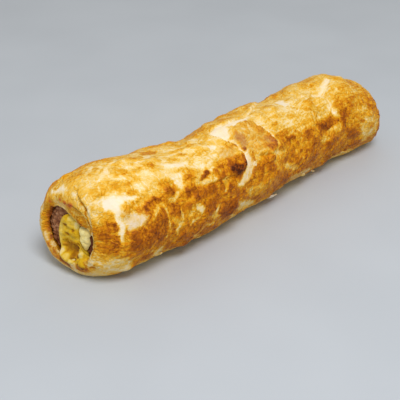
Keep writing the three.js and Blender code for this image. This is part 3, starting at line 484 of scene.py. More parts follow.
# Fillings where they show at the near end: outlines as [y, z] about the bore's axis.
YELLOW_FACE = [(6.0, 4.8), (7.1, 0.8), (7.1, -2.5), (6.6, -5.6), (5.9, -9.4), (5.6, -12.6), (4.2, -14.7),
               (1.5, -15.8), (-2.0, -16.0), (-5.0, -15.8), (-7.6, -16.4), (-9.2, -15.0), (-9.8, -12.2),
               (-9.8, -9.6), (-8.2, -8.2), (-5.6, -7.2), (-4.2, -4.6), (-3.5, -1.8), (-3.2, 1.2),
               (-3.3, 4.4), (-3.4, 6.6), (-1.4, 8.2), (1.6, 8.8), (4.4, 7.4)]
PALE_FACE = [(-3.6, 1.0), (-3.5, 3.2), (-4.6, 4.4), (-6.6, 4.0), (-8.2, 4.4), (-10.1, 3.5), (-10.4, 1.6),
             (-9.6, -0.2), (-10.0, -2.4), (-9.0, -4.8), (-7.8, -7.0), (-6.2, -6.4), (-5.2, -4.6),
             (-4.2, -2.0)]
# A lump of meat beside the pale cheese: middle and half sizes as [s, y, z].
CRUMB = {"middle": (3.3, -11.5, -3.2), "half": (1.6, 1.7, 5.8)}
# Lumps (+) and dents (-) in the yellow cheese as [y, z, half width, half height, mm].
CHEESE_LUMPS = [
    (3.2, 5.2, 3.0, 3.4, 0.9), (-1.2, -0.6, 3.0, 1.8, 0.8), (4.6, -1.5, 2.2, 2.0, 0.5),
    (0.8, 2.2, 2.0, 1.4, 0.4), (5.0, -11.4, 1.1, 2.4, 1.1), (0.8, -14.2, 2.4, 1.1, 0.6),
    (-6.0, -9.8, 2.0, 1.7, 1.0), (-7.4, -12.8, 2.2, 1.8, 1.3), (-6.8, -15.4, 2.0, 1.2, 0.9),
    (-1.2, -15.2, 1.3, 1.2, 0.7), (3.2, -14.6, 2.0, 1.2, 0.4), (1.9, -9.0, 4.4, 4.0, -1.8),
    (-3.2, -6.8, 1.0, 2.6, -1.4), (-2.6, -13.0, 0.9, 0.9, -1.0), (3.8, 2.4, 1.2, 1.2, -0.6),
    (-0.3, 1.2, 0.9, 0.9, -0.4), (2.8, -1.6, 1.4, 0.9, -0.5), (-3.8, -11.0, 0.7, 1.6, -0.8),
]
# Browned (or pale) spots on it as [y, z, half width, half height, tone]. The first two are painted shade in
# its hollow, and the pale one at (6.2, 1.0) is a painted highlight along its left edge.
CHEESE_SPOTS = [
    (1.8, -8.8, 5.0, 4.8, 0.64), (-1.4, -9.0, 2.4, 3.8, 0.74), (1.4, 4.6, 3.4, 2.4, 0.38),
    (6.2, 1.0, 0.9, 5.0, 0.27), (1.2, 6.6, 2.0, 1.2, 0.24), (-2.2, 4.4, 1.4, 1.8, 0.14),
    (-0.4, -0.6, 3.4, 1.8, 0.5), (4.1, 2.6, 1.1, 1.3, 0.74), (-0.4, 1.3, 0.9, 0.9, 0.74),
    (2.8, -1.5, 1.4, 1.0, 0.68), (6.2, -6.0, 0.8, 3.0, 0.3), (5.2, -11.2, 1.2, 2.8, 0.1),
    (2.4, -13.2, 2.2, 1.5, 0.3), (3.0, -14.8, 2.0, 1.0, 0.44), (-1.0, -14.2, 1.2, 1.0, 0.2),
    (-1.6, -15.6, 1.4, 0.8, 0.1), (-6.0, -9.4, 1.6, 1.9, 0.14), (-8.0, -9.6, 1.0, 1.4, 0.46),
    (-7.4, -12.4, 2.6, 1.8, 0.5), (-6.8, -15.2, 2.6, 1.4, 0.76), (-8.2, -15.6, 0.9, 0.6, 0.9),
    (-5.4, -15.4, 0.8, 0.6, 0.86), (-2.6, -13.0, 1.1, 1.0, 0.84), (-2.2, -13.2, 0.6, 0.5, 0.0),
    (2.0, -15.8, 1.4, 0.6, 0.74), (-3.2, -6.8, 0.7, 2.4, 0.84), (-3.8, -11.2, 0.7, 1.6, 0.84),
]

# ------------------------------------------------------------------ mesh fineness and small sizes

AROUND = 240
SKIN_RINGS = 340
NEAR_LIP_RINGS = 32
FAR_LIP_RINGS = 22
INNER_RINGS = 14
FINE_ENDS = 3000                    # samples used to measure the lengthwise outline
LINING_RADIUS = 15.0                # turns angles into millimetres on the lining
LINING_SHIFT = 300.0                # sets the lining's fine pattern apart from the skin's
FLAKE_THICKNESS = 0.4
MEAT_CRUMBS = 1.3                   # height of the meat's crumbs


# ------------------------------------------------------------------ small helpers

def smoothstep(x, low, high):
    t = np.clip((x - low) / (high - low), 0.0, 1.0)
    return t * t * (3.0 - 2.0 * t)


def mix(a, b, share):
    return a + (b - a) * share


def within(x, low, high, margin):
    """1 from low to high, falling to 0 over a margin outside."""
    return smoothstep(x, low - margin, low) * (1.0 - smoothstep(x, high, high + margin))


def through(values, t):
    """Smooth value at share t through evenly spaced values."""
    values = np.asarray(values, float)
    last = len(values) - 1
    at = np.clip(t, 0.0, 1.0) * last
    i = np.minimum(np.floor(at).astype(int), last - 1)
    w = at - i
    a, b = values[np.maximum(i - 1, 0)], values[i]
    c, d = values[i + 1], values[np.minimum(i + 2, last)]
    start, end = (c - a) / 2, (d - b) / 2
    return (2 * b - 2 * c + start + end) * w**3 + (-3 * b + 3 * c - 2 * start - end) * w**2 + start * w + b


def hash01(ix, iy, iz, seed):
    """A repeatable value from 0 to 1 for each lattice point."""
    with np.errstate(over="ignore"):
        h = (ix.astype(np.uint32) * np.uint32(0x8DA6B343)
             ^ iy.astype(np.uint32) * np.uint32(0xD8163841)
             ^ iz.astype(np.uint32) * np.uint32(0xCB1AB31F)
             ^ np.uint32((seed * 0x9E3779B9) & 0xFFFFFFFF))
        h = (h ^ (h >> np.uint32(15))) * np.uint32(0x85EBCA6B)
        h = (h ^ (h >> np.uint32(13))) * np.uint32(0xC2B2AE35)
        h = h ^ (h >> np.uint32(16))
    return h.astype(np.float64) / 4294967295.0


def noise(points, scale, seed):
    """Smooth value noise from -1 to 1 over points in millimetres."""
    p = points / scale
    cell = np.floor(p).astype(np.int64)
    f = p - cell
    w = f * f * f * (f * (f * 6 - 15) + 10)
    total = 0.0
    for dx in (0, 1):
        for dy in (0, 1):
            for dz in (0, 1):
                corner = hash01(cell[..., 0] + dx, cell[..., 1] + dy, cell[..., 2] + dz, seed)
                weight = (np.where(dx, w[..., 0], 1 - w[..., 0])
                          * np.where(dy, w[..., 1], 1 - w[..., 1])
                          * np.where(dz, w[..., 2], 1 - w[..., 2]))
                total = total + corner * weight
    return 2.0 * total - 1.0


def fractal(points, scale, seed, octaves=3, gain=0.5):
    total, size, norm = 0.0, 1.0, 0.0
    for k in range(octaves):
        total = total + size * noise(points, scale / 2**k, seed + 31 * k)
        norm += size
        size *= gain
    return total / norm


def cells(points, scale, seed):
    """Distance from the middle of a cell (0) to its border (about 1), over flat cells."""
    p = points[..., :2] / scale
    base = np.floor(p).astype(np.int64)
    near, next_near = np.full(p.shape[:-1], 9.0), np.full(p.shape[:-1], 9.0)
    for dx in (-1, 0, 1):
        for dy in (-1, 0, 1):
            cx, cy = base[..., 0] + dx, base[..., 1] + dy
            jx, jy = hash01(cx, cy, cx * 0, seed), hash01(cx, cy, cx * 0 + 1, seed)
            gap = np.hypot(cx + jx - p[..., 0], cy + jy - p[..., 1])
            next_near = np.minimum(next_near, np.maximum(near, gap))
            near = np.minimum(near, gap)
    return near / np.maximum(next_near, 1e-6)


def warped(points, scale, reach, seed):
    """Points pushed about by noise, for swirled patterns."""
    push = np.stack([noise(points, scale, seed + k) for k in range(3)], -1)
    return points + reach * push


# ------------------------------------------------------------------ shape of the roll

def pastry_radius(s):
    return through(RADII, s / LENGTH)


def bore_radius(s):
    return BORE * pastry_radius(np.clip(s, 0, LENGTH))


def rounding(end, distance):
    t = np.clip(1 - distance / end["reach"], 0, 1)
    return end["rim"] + (1 - end["rim"]) * (1 - t ** end["square"]) ** (1 / end["square"])


def skin_radius(s):
    return pastry_radius(s) * rounding(NEAR_END, s) * rounding(FAR_END, LENGTH - s)


def slopes(key):
    """How steeply the sections at the near and the far end lean, from their angles."""
    return [math.tan(math.radians(end[key])) for end in (NEAR_END, FAR_END)]


TURNED, TIPPED = slopes("turn"), slopes("tip")


def place(s, y, z):
    """Points of a cross-section, y sideways and z up from the axis, at distance s along."""
    near = np.exp(-((s / END_FADE) ** 2))
    far = np.exp(-(((LENGTH - s) / END_FADE) ** 2))
    turned = -TURNED[0] * near - TURNED[1] * far
    tipped = TIPPED[0] * near + TIPPED[1] * far
    share = np.clip(s / LENGTH, 0, 1)
    x = s - LENGTH / 2 + turned * y + tipped * z
    return np.stack([x, through(SWAY, share) + y, np.maximum(SIT_HEIGHT * pastry_radius(s) + z, 0)], -1)


def place_round(s, angle, radius):
    a = np.radians(angle)
    return place(s, -radius * np.cos(a), radius * np.sin(a))


def frame_shift():
    """From the roll's own axes to the frame's origin, measured on the CAD meat's outline."""
    angle = np.arange(MEAT_AROUND) * 360.0 / MEAT_AROUND
    s = np.linspace(FILL_START, FILL_END, BORE_RINGS + 1)[:, None]
    radius = MEAT_RADIUS * bore_radius(s) / bore_radius(0.0)
    outline = place_round(s, angle[None, :], radius).reshape(-1, 3)
    low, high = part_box("sausage_meat")
    shift_y = (low[1] + high[1]) / 2 / MM - (outline[:, 1].min() + outline[:, 1].max()) / 2
    shift_x = low[0] / MM - outline[:, 0].min()
    return np.array([shift_x, shift_y, 0.0])


SHIFT = frame_shift()

# Lengthwise outline: travel is the distance along the skin from the near rim.
OUTLINE_S = LENGTH * (0.5 - 0.5 * np.cos(PI * np.linspace(0, 1, FINE_ENDS)))
OUTLINE_STEPS = np.hypot(np.diff(OUTLINE_S), np.diff(skin_radius(OUTLINE_S)))
OUTLINE_TRAVEL = np.concatenate([[0], np.cumsum(OUTLINE_STEPS)])


def travel_at(s):
    return np.interp(s, OUTLINE_S, OUTLINE_TRAVEL)


def skin_coordinates(s, angle):
    """Points on the unrolled skin, in millimetres: along, round and a steady third."""
    return np.stack([travel_at(s), np.radians(angle) * MEAN_RADIUS, np.zeros_like(s)], -1)


# ------------------------------------------------------------------ relief of the skin

class Draws:
    """Repeatable draws from 0 to 1, the same as the part's source makes."""

    def __init__(self, seed):
        self.state = seed & 0xFFFFFFFF

    def next(self):
        self.state = (self.state + 0x6D2B79F5) & 0xFFFFFFFF
        t = self.state
        t = ((t ^ (t >> 15)) * (t | 1)) & 0xFFFFFFFF
        t ^= (t + (((t ^ (t >> 7)) * (t | 61)) & 0xFFFFFFFF)) & 0xFFFFFFFF
        return ((t ^ (t >> 14)) & 0xFFFFFFFF) / 4294967296.0

    def between(self, low, high):
        return low + (high - low) * self.next()


def blister_height(s, angle):
    """Height of the round blisters, at the places that the part's source draws for them."""
    draws = Draws(BLISTERS["seed"])
    draws.next()                    # the source spends its first draw on setting the seed
    per_degree = math.radians(1) * pastry_radius(s)
    height = np.zeros_like(s)
    for _ in range(BLISTERS["count"]):
        at = draws.between(8, LENGTH - 6)
        turn = draws.between(-55, 235)
        long = draws.between(*BLISTERS["long"])
        wide = draws.between(*BLISTERS["wide"])
        lean = draws.between(-0.9, 0.9)
        high = draws.between(*BLISTERS["high"])
        ds = s - at
        dt = (angle - turn) * per_degree
        u = (ds * math.cos(lean) + dt * math.sin(lean)) / long
        v = (dt * math.cos(lean) - ds * math.sin(lean)) / wide
        inside = np.maximum(1 - u * u - v * v, 0)
        height += high * inside * inside
    return height


def smooth_line(points, steps=6):
    """A line through the points with rounded corners."""
    points = np.asarray(points, float)
    t = np.linspace(0, 1, steps * (len(points) - 1) + 1)
    return np.stack([through(points[:, 0], t), through(points[:, 1], t)], -1)


def line_field(line, skin):
    """Distance to a line, positive on its left, and how far along it the nearest point is."""
    q = np.stack([travel_at(line[:, 0]), np.radians(line[:, 1]) * MEAN_RADIUS], -1)
    best = np.full(skin.shape[:-1], np.inf)
    side = np.zeros(skin.shape[:-1])
    run = np.zeros(skin.shape[:-1])
    start = 0.0
    for a, b in zip(q[:-1], q[1:]):
        d = b - a
        size = math.hypot(*d)
        px, py = skin[..., 0] - a[0], skin[..., 1] - a[1]
        t = np.clip((px * d[0] + py * d[1]) / size**2, 0, 1)
        gap = np.hypot(px - t * d[0], py - t * d[1])
        closer = gap < best
        best = np.where(closer, gap, best)
        side = np.where(closer, np.sign(d[0] * py - d[1] * px), side)
        run = np.where(closer, start + t * size, run)
        start += size
    return best * side, run, start


def layer_fields(skin):
    """Height of the layer steps, and the creases at their feet."""
    height = np.zeros(skin.shape[:-1])
    crease = np.zeros(skin.shape[:-1])
    ragged = 0.5 * noise(skin, 3.1, 71) + 0.25 * noise(skin, 1.3, 72)
    ragged = ragged * mix(0.25, 1.0, smoothstep(skin[..., 0], 5, 12))     # even beside the near rim
    for edge in LAYER_EDGES:
        behind, run, total = line_field(smooth_line(edge["line"]), skin)
        behind = (behind if edge["left"] else -behind) + ragged
        fade = within(run, 5, total - 5, 5)
        risen = smoothstep(behind, -0.35, 0.35)
        height += edge["thick"] * risen * np.exp(-np.maximum(behind, 0) / edge["thins"]) * fade
        crease += np.exp(-((behind + 0.5) / 0.55) ** 2) * fade
    return height, np.clip(crease, 0, 1)


def ripple_height(s, angle):
    waves = sum(high * np.sin(np.radians(per_mm * s + turns * angle)) for high, per_mm, turns in RIPPLES)
    return waves * within(s, 12, LENGTH - 12, 10)


def terraces(x, steps):
    """Rounded steps out of a smooth field, as thin flakes lie on each other."""
    x = x * steps
    whole = np.floor(x)
    return (whole + smoothstep(x - whole, 0.42, 0.58)) / steps


def bubbles(points, scale, seed):
    """Rounded bubbles with creases between them, 0 to 1, some tall and some flat."""
    dome = 1 - cells(warped(points, 1.4 * scale, 0.45 * scale, seed), scale, seed + 5) ** 2
    return dome * (0.55 + 0.45 * noise(points, 2.5 * scale, seed + 9))


def fine_height(skin):
    """Wrinkles, thin flakes, bubbles and pimples of the baked skin, in millimetres."""
    swirled = warped(skin, 7.0, 2.6, 11)
    lean = np.stack([0.8 * swirled[..., 0] - 0.35 * swirled[..., 1], swirled[..., 1], swirled[..., 2]], -1)
    wrinkles = 1 - 2.2 * np.abs(fractal(lean, 5.0, 21, 3, 0.55))
    flakes = terraces(fractal(swirled, 11.0, 31, 3), 3.2)
    height = 0.3 * wrinkles + 0.45 * flakes + 0.62 * bubbles(skin, 4.2, 51) + 0.34 * bubbles(skin, 2.1, 57)
    return height - FINE_MEAN


# ------------------------------------------------------------------ painting

def on_skin(points):
    """Points [s, angle] as millimetres on the unrolled skin."""
    return np.array([(travel_at(s), math.radians(a) * MEAN_RADIUS) for s, a in points])


def outline_distance(outline, points):
    """Distance inside a closed outline, negative outside."""
    x, y = points[..., 0], points[..., 1]
    nearest = np.full(x.shape, np.inf)
    inside = np.zeros(x.shape, bool)
    for a, b in zip(outline, np.roll(outline, -1, axis=0)):
        d = b - a
        t = np.clip(((x - a[0]) * d[0] + (y - a[1]) * d[1]) / (d @ d), 0, 1)
        nearest = np.minimum(nearest, np.hypot(x - a[0] - t * d[0], y - a[1] - t * d[1]))
        crosses = (a[1] > y) != (b[1] > y)
        with np.errstate(divide="ignore", invalid="ignore"):
            inside ^= crosses & (x < a[0] + (y - a[1]) * d[0] / d[1])
    return np.where(inside, nearest, -nearest)


def near_points(outline, points, margin):
    """Which points lie in the box round an outline, to keep the painting quick."""
    low, high = outline.min(0) - margin, outline.max(0) + margin
    return ((points[..., 0] > low[0]) & (points[..., 0] < high[0])
            & (points[..., 1] > low[1]) & (points[..., 1] < high[1]))


def paint(tone, points, patches, weight=None):
    """Lay patches over a tone, in order; the weight says how strongly at each point."""
    for target, soft, outline in patches:
        outline = np.asarray(outline, float)
        close = near_points(outline, points, 3 * soft)
        share = smoothstep(outline_distance(outline, points[close]), -soft, soft)
        tone[close] = mix(tone[close], target, share if weight is None else share * weight[close])


def mauve_share(patches, points):
    """How strongly each point takes the mauve, 0 to 1, from patches of (strength, outline)."""
    dust_and_shade = np.zeros(points.shape[:-1])
    for strength, outline in patches:
        depth = outline_distance(np.asarray(outline), points)
        dust_and_shade = np.maximum(dust_and_shade, strength * smoothstep(depth, -0.8, 1.6))
    return dust_and_shade


def roughened(points, passes, stretch=1.0):
    """Points pushed about by (scale, reach, seed) noises, so that painted outlines come out ragged."""
    ragged = points.copy()
    for scale, reach, seed in passes:
        ragged[..., 0] += reach * stretch * noise(points, scale, seed)
        ragged[..., 1] += reach * noise(points, scale, seed + 1)
    return ragged


def front_paint(tone, y, z, weight):
    """Marks on the near end; gives how red each point is, and how much dust and painted shade it takes."""
    flat = np.stack([y, z, np.zeros_like(y)], -1)
    ragged = roughened(flat, ((4.0, 0.5, 301), (1.5, 0.35, 311)))
    paint(tone, ragged, FRONT_PATCHES, weight)
    red = np.zeros_like(y)
    for middle_y, middle_z, radius in BLUSHES:
        away = np.hypot(ragged[..., 0] - middle_y, ragged[..., 1] - middle_z)
        red = np.maximum(red, 1 - smoothstep(away, 0.4 * radius, 1.4 * radius))
    return red * weight, mauve_share(FRONT_DUST_AND_SHADE, ragged) * weight


def painted_tone(skin, angle):
    """How dark the skin is baked, 0 to 1, from the patches and streaks."""
    ragged = roughened(skin, ((7.0, 0.6, 101), (2.4, 0.5, 111), (1.1, 0.25, 121)), 1.3)
    tone = np.interp(angle + 6 * noise(skin, 16.0, 131), *zip(*TONE_ROUND))
    paint(tone, ragged, [(target, soft, on_skin(outline)) for target, soft, outline in PATCHES])
    for target, half, line in STREAKS:
        close = near_points(on_skin(line), ragged, 3 * half)
        aside, run, total = line_field(smooth_line(line), ragged[close])
        taper = np.clip(np.minimum(run, total - run) / (0.25 * total) + 0.25, 0, 1)
        share = 1 - smoothstep(np.abs(aside), 0.5 * half * taper, 1.5 * half * taper)
        tone[close] = mix(tone[close], target, share)
    # The crown is evenly baked but for the bare dough of its seams and its darkest marks.
    even = within(angle, *CROWN) * smoothstep(tone, 0.05, 0.14) * (1 - smoothstep(tone, 0.66, 0.8))
    return mix(tone, CROWN_TONE + CROWN_CONTRAST * (tone - CROWN_TONE), even)


def swirls(skin, angle):
    """Gold and cream swirls of the egg-washed skin, -1 to 1."""
    lean = np.radians(mix(-12, 28, smoothstep(angle, 30, 80)))
    pushed = warped(skin, 8.0, 3.0, 151)
    pushed = warped(pushed, 3.0, 1.1, 161)
    u = pushed[..., 0] * np.cos(lean) + pushed[..., 1] * np.sin(lean)
    v = pushed[..., 1] * np.cos(lean) - pushed[..., 0] * np.sin(lean)
    field = fractal(np.stack([0.6 * u, v, np.zeros_like(u)], -1), 3.4, 171, 3, 0.6)
    return np.tanh(3.6 * field)


# ------------------------------------------------------------------ pastry mesh

def skin_point(s, angle, lift):
    step = 0.1
    inward = np.clip(s, 0.2, LENGTH - 0.2)
    slope = (skin_radius(inward + step) - skin_radius(inward - step)) / (2 * step)
    tilt = np.hypot(1, slope)
    return place_round(s - lift * slope / tilt, angle, skin_radius(s) + lift / tilt)


def tongue_hang(angle):
    corners = np.asarray(TONGUE, float)
    return np.interp(angle, corners[:, 0], corners[:, 1])


def funnel_depth(s, angle):
    """How far the skin's first rings slope into the opening."""
    rim = skin_radius(0.0)
    share = smoothstep(rim + FUNNEL_WIDTH - skin_radius(s), 0, FUNNEL_WIDTH)
    return np.interp(angle, *zip(*FUNNEL)) * share


def near_lip(t, angle):
    """The rolled-in lip of the near opening, from the rim (t=0) to the meat (t=1)."""
    keys = [0, 0.12, 0.3, 0.5, 0.72, 1]
    rim, deep = skin_radius(0.0), bore_radius(MOUTH_DEPTH)
    plain_r = np.interp(t, keys, [rim, rim - 0.3, rim - 0.45, rim - 0.2, rim + 0.5, deep])
    plain_s = np.interp(t, keys, [0, 0.25, 0.9, 1.9, 3.0, MOUTH_DEPTH])
    hang = tongue_hang(angle)
    share = np.clip(hang / 6.0, 0, 1)
    tongue_r = np.interp(t, keys, [rim, rim, rim, rim, rim + 0.3, deep])
    reach = np.interp(t, keys, [0, 0.35, 0.82, 1.0, 0.8, 0])
    tongue_s = np.interp(t, keys, [0, 0.35, 0.8, 1.7, 2.6, MOUTH_DEPTH])
    return mix(plain_s, tongue_s, share), mix(plain_r, tongue_r, share) - hang * reach


def skin_relief(S, A):
    """Lift of the skin, and the paint, fine relief, blisters and creases that it comes from."""
    skin, travel = skin_coordinates(S, A), travel_at(S)
    whole = OUTLINE_TRAVEL[-1]
    layers, crease = layer_fields(skin)
    clear_of_floor = smoothstep(A, -90, -62) * (1 - smoothstep(A, 242, 270))
    clear_of_rims = smoothstep(travel, 0.5, 5) * (1 - smoothstep(travel, whole - 6, whole - 1))
    blisters = blister_height(S, A)
    fine = fine_height(skin) * (1 - 0.45 * smoothstep(A, 70, 95))
    painted = painted_tone(skin, A)
    puffed = 0.9 * smoothstep(painted, 0.72, 0.98) - 0.2 * (1 - smoothstep(painted, 0.02, 0.25))
    fine_lift = fine * mix(0.4, 1.15, smoothstep(painted, 0.1, 0.65))
    lift = layers + blisters + ripple_height(S, A) - 0.35 * crease
    lift = lift + (fine_lift + puffed) * clear_of_floor * mix(0.35, 1.0, clear_of_rims)
    lift = lift - np.interp(A, *zip(*NEAR_TRIM)) * (1 - smoothstep(S, 7, 20))
    lift = lift + np.interp(S, *zip(*CROWN_RISE)) * within(A, *BACK_OF_CROWN)
    lift = lift + np.interp(S, *zip(*EDGE_RISE)) * within(A, *LOWER_EDGE)
    return lift, painted, fine, blisters, crease


def baked_tone(S, A, skin, painted, fine, blisters, crease):
    """The painted tone with swirls, and with the relief's high places browner than its creases."""
    lobe = 1 - 0.2 * smoothstep(outline_distance(on_skin(LOBE), skin), -1, 1)
    depth = mix(0.085, 0.09, smoothstep(A, 35, 60)) * (1 - 0.6 * smoothstep(painted, 0.62, 0.85))
    depth = depth * mix(0.3, 1, smoothstep(painted, 0.05, 0.25)) * mix(0.5, 1, smoothstep(S, 4, 9))
    grain = fine * mix(0.1, 0.3, smoothstep(painted, 0.1, 0.65)) * (1 - 0.6 * smoothstep(painted, 0.6, 0.8))
    tone = painted + lobe * (depth * swirls(skin, A) + grain) + 0.05 * blisters - 0.1 * crease
    return tone - 0.6 * np.maximum(tone - np.maximum(painted, 0.82), 0)


def grid_faces(rows, columns, wrap_rows):
    """Quads of a grid that is closed round its columns and, if asked, along its rows."""
    i = np.arange(rows if wrap_rows else rows - 1)[:, None]
    j = np.arange(columns)[None, :]
    i2, j2 = (i + 1) % rows, (j + 1) % columns
    corners = [i * columns + j, i * columns + j2, i2 * columns + j2, i2 * columns + j]
    return np.stack([corner.ravel() for corner in corners], -1).tolist()


def make_object(name, points, faces, fields):
    """A smooth mesh from points in the roll's own millimetres, with a value per point for each field."""
    mesh = bpy.data.meshes.new(name)
    vertices = (points.reshape(-1, 3) + SHIFT) * MM
    vertices[:, 2] = np.maximum(vertices[:, 2], 0)
    mesh.from_pydata(vertices.tolist(), [], faces)
    mesh.validate()
    mesh.polygons.foreach_set("use_smooth", [True] * len(mesh.polygons))
    for key, values in fields.items():
        layer = mesh.attributes.new(key, "FLOAT", "POINT")
        layer.data.foreach_set("value", np.ascontiguousarray(values, dtype=np.float32).ravel())
    mesh.update()
    piece = bpy.data.objects.new(name, mesh)
    bpy.context.scene.collection.objects.link(piece)
    return piece


def front_fields(tone, radius, angle, weight):
    """Paint the near end's marks on a tone; gives how red each point is, and how much dust and painted shade
    it takes.
    """
    radians = np.radians(angle)
    return front_paint(tone, -radius * np.cos(radians), radius * np.sin(radians), weight)


def outer_skin(angle):
    """Rings of the skin from the near rim to the far one, with their fields, lift and funnel."""
    s = np.interp(np.linspace(0, OUTLINE_TRAVEL[-1], SKIN_RINGS + 1), OUTLINE_TRAVEL, OUTLINE_S)
    S, A = np.meshgrid(s, angle, indexing="ij")
    skin = skin_coordinates(S, A)
    lift, painted, *relief = skin_relief(S, A)
    funnel = funnel_depth(S, A)
    points = skin_point(S, A, lift)
    points[..., 0] += funnel * (S < 5)
    tone = baked_tone(S, A, skin, painted, *relief)
    outlines = [(strength, on_skin(outline)) for strength, outline in DUSTY]
    dust_and_shade = mauve_share(outlines, warped(skin, 3.0, 1.0, 181))
    red, front_dust_and_shade = front_fields(tone, skin_radius(S), A, 1 - smoothstep(S, 3.5, 7))
    fields = {"tone": tone, "mauve": np.maximum(dust_and_shade, front_dust_and_shade), "red": red,
              "along": skin[..., 0], "round": skin[..., 1]}
    return points, fields, lift, funnel


def inner_lining(angle, lift, funnel):
    """Rings over the far lip, back through the bore and out over the near lip, with their fields."""
    far = np.linspace(0, 1, FAR_LIP_RINGS)[1:]
    middle = np.linspace(FILL_END, FILL_START, INNER_RINGS + 2)[1:-1]
    near = np.linspace(1, 0, NEAR_LIP_RINGS)[:-1]
    none = [np.zeros(len(part)) for part in (far, middle, near)]

    def joined(*parts):
        """One value for each point, from the far lip's, the bore's and the near lip's values."""
        rings = [np.reshape(part, (len(zeros), -1)) for part, zeros in zip(parts, none)]
        return np.concatenate([np.broadcast_to(ring, (len(ring), AROUND)) for ring in rings])

    far_rim = skin_radius(LENGTH)
    far_keys = [0, 0.2, 0.5, 1]
    far_s = LENGTH - np.interp(far, far_keys, [0, 0.2, 1.2, MOUTH_DEPTH])
    far_r = np.interp(far, far_keys, [far_rim, far_rim - 0.5, far_rim - 0.7, bore_radius(FILL_END)])
    near_s, near_r = near_lip(near[:, None], angle)
    s, r = joined(far_s, middle, near_s), joined(far_r, bore_radius(middle), near_r)
    a = np.broadcast_to(angle, s.shape)
    rough = np.stack([s, np.radians(a) * LINING_RADIUS, r], -1)
    far_shown = np.interp(far, [0, 0.3, 1], [0, 1, 0.6])
    near_shown = np.interp(near, [0, 0.2, 0.8, 1], [0, 1, 1, 0.5])
    shown = joined(far_shown, none[1], near_shown)
    leaves = 1.6 * np.abs(fractal(rough * np.array([1.0, 0.22, 1.0]), 1.5, 97, 2))
    leaves = leaves * (1 - 0.75 * smoothstep(tongue_hang(a), 0, 4))
    r = r + shown * (0.6 * fractal(rough, 4.5, 91, 3) - 0.5 * leaves)
    s = s + shown * (0.4 * noise(rough, 3.0, 95) + 0.3 * leaves)
    # The lips take over the height of the skin's first and last rings.
    s = s + joined((1 - far) ** 3, none[1], none[2]) * lift[-1]
    s = s - joined(none[0], none[1], (1 - near) ** 3) * lift[0]
    s = s + joined(none[0], none[1], 1 - near) * funnel[0]
    deep = smoothstep(joined(far, none[1] + 1, near), 0.45, 0.8)
    tone = 0.3 + 0.14 * fractal(rough, 2.6, 99, 3) + 0.25 * leaves + 0.3 * deep
    red, dust_and_shade = front_fields(tone, r, a, (1 - deep) * (s < LENGTH / 2))
    fields = {"tone": tone, "mauve": dust_and_shade, "red": red,
              "along": s + r + LINING_SHIFT, "round": np.radians(a) * MEAN_RADIUS}
    return place_round(s, a, r), fields


def build_pastry():
    """The whole wrap as one closed grid, over the skin and back through the bore."""
    angle = -90 + 360 * np.arange(AROUND) / AROUND
    skin, fields, lift, funnel = outer_skin(angle)
    lining, inner = inner_lining(angle, lift, funnel)
    points = np.concatenate([skin, lining])
    fields = {key: np.concatenate([fields[key], inner[key]]) for key in fields}
    return make_object("pastry_wrap", points, grid_faces(*points.shape[:2], wrap_rows=True), fields)


# ------------------------------------------------------------------ fillings and flakes

def filling_place(s, y, z):
    scale = bore_radius(s) / bore_radius(0.0)
    return place(s, scale * y, scale * z)


def polar_outline(outline, centre, angle):
    """Distance from a centre to a closed outline of [y, z] points, by angle."""
    q = smooth_line(list(outline) + [outline[0]]) - np.asarray(centre)
    around = np.arctan2(q[:, 1], q[:, 0])
    order = np.argsort(around)
    around, far = around[order], np.hypot(q[:, 0], q[:, 1])[order]
    wrapped = np.concatenate([around - 2 * PI, around, around + 2 * PI])
    return np.interp(angle, wrapped, np.tile(far, 3))


def ray_to_oval(centre, angle, oval, grow, outermost):
    """Distance along rays from a centre to an oval's near or far side, infinite where they miss."""
    wide, high = oval["half_width"] + grow, oval["half_height"] + grow
    dy, dz = np.cos(angle) / wide, np.sin(angle) / high
    oy, oz = (centre[0] - oval["y"]) / wide, (centre[1] - oval["z"]) / high
    a, b, c = dy * dy + dz * dz, oy * dy + oz * dz, oy * oy + oz * oz - 1
    root = b * b - a * c
    ends = (-b + np.where(outermost, 1, -1) * np.sqrt(np.maximum(root, 0))) / a
    return np.where((root > 0) & (ends > 0), ends, np.inf)


def build_shell(name, rings, start, end, fields):
    """A closed mesh from rings of points between two tips."""
    rings = np.asarray(rings)
    count, around = rings.shape[:2]
    points = np.concatenate([rings.reshape(-1, 3), [start], [end]])
    start_at = count * around
    end_at, last_ring = start_at + 1, start_at - around
    faces = grid_faces(count, around, wrap_rows=False)
    for k in range(around):
        after = (k + 1) % around
        faces += [[start_at, after, k], [end_at, last_ring + k, last_ring + after]]
    return make_object(name, points, faces, fields)


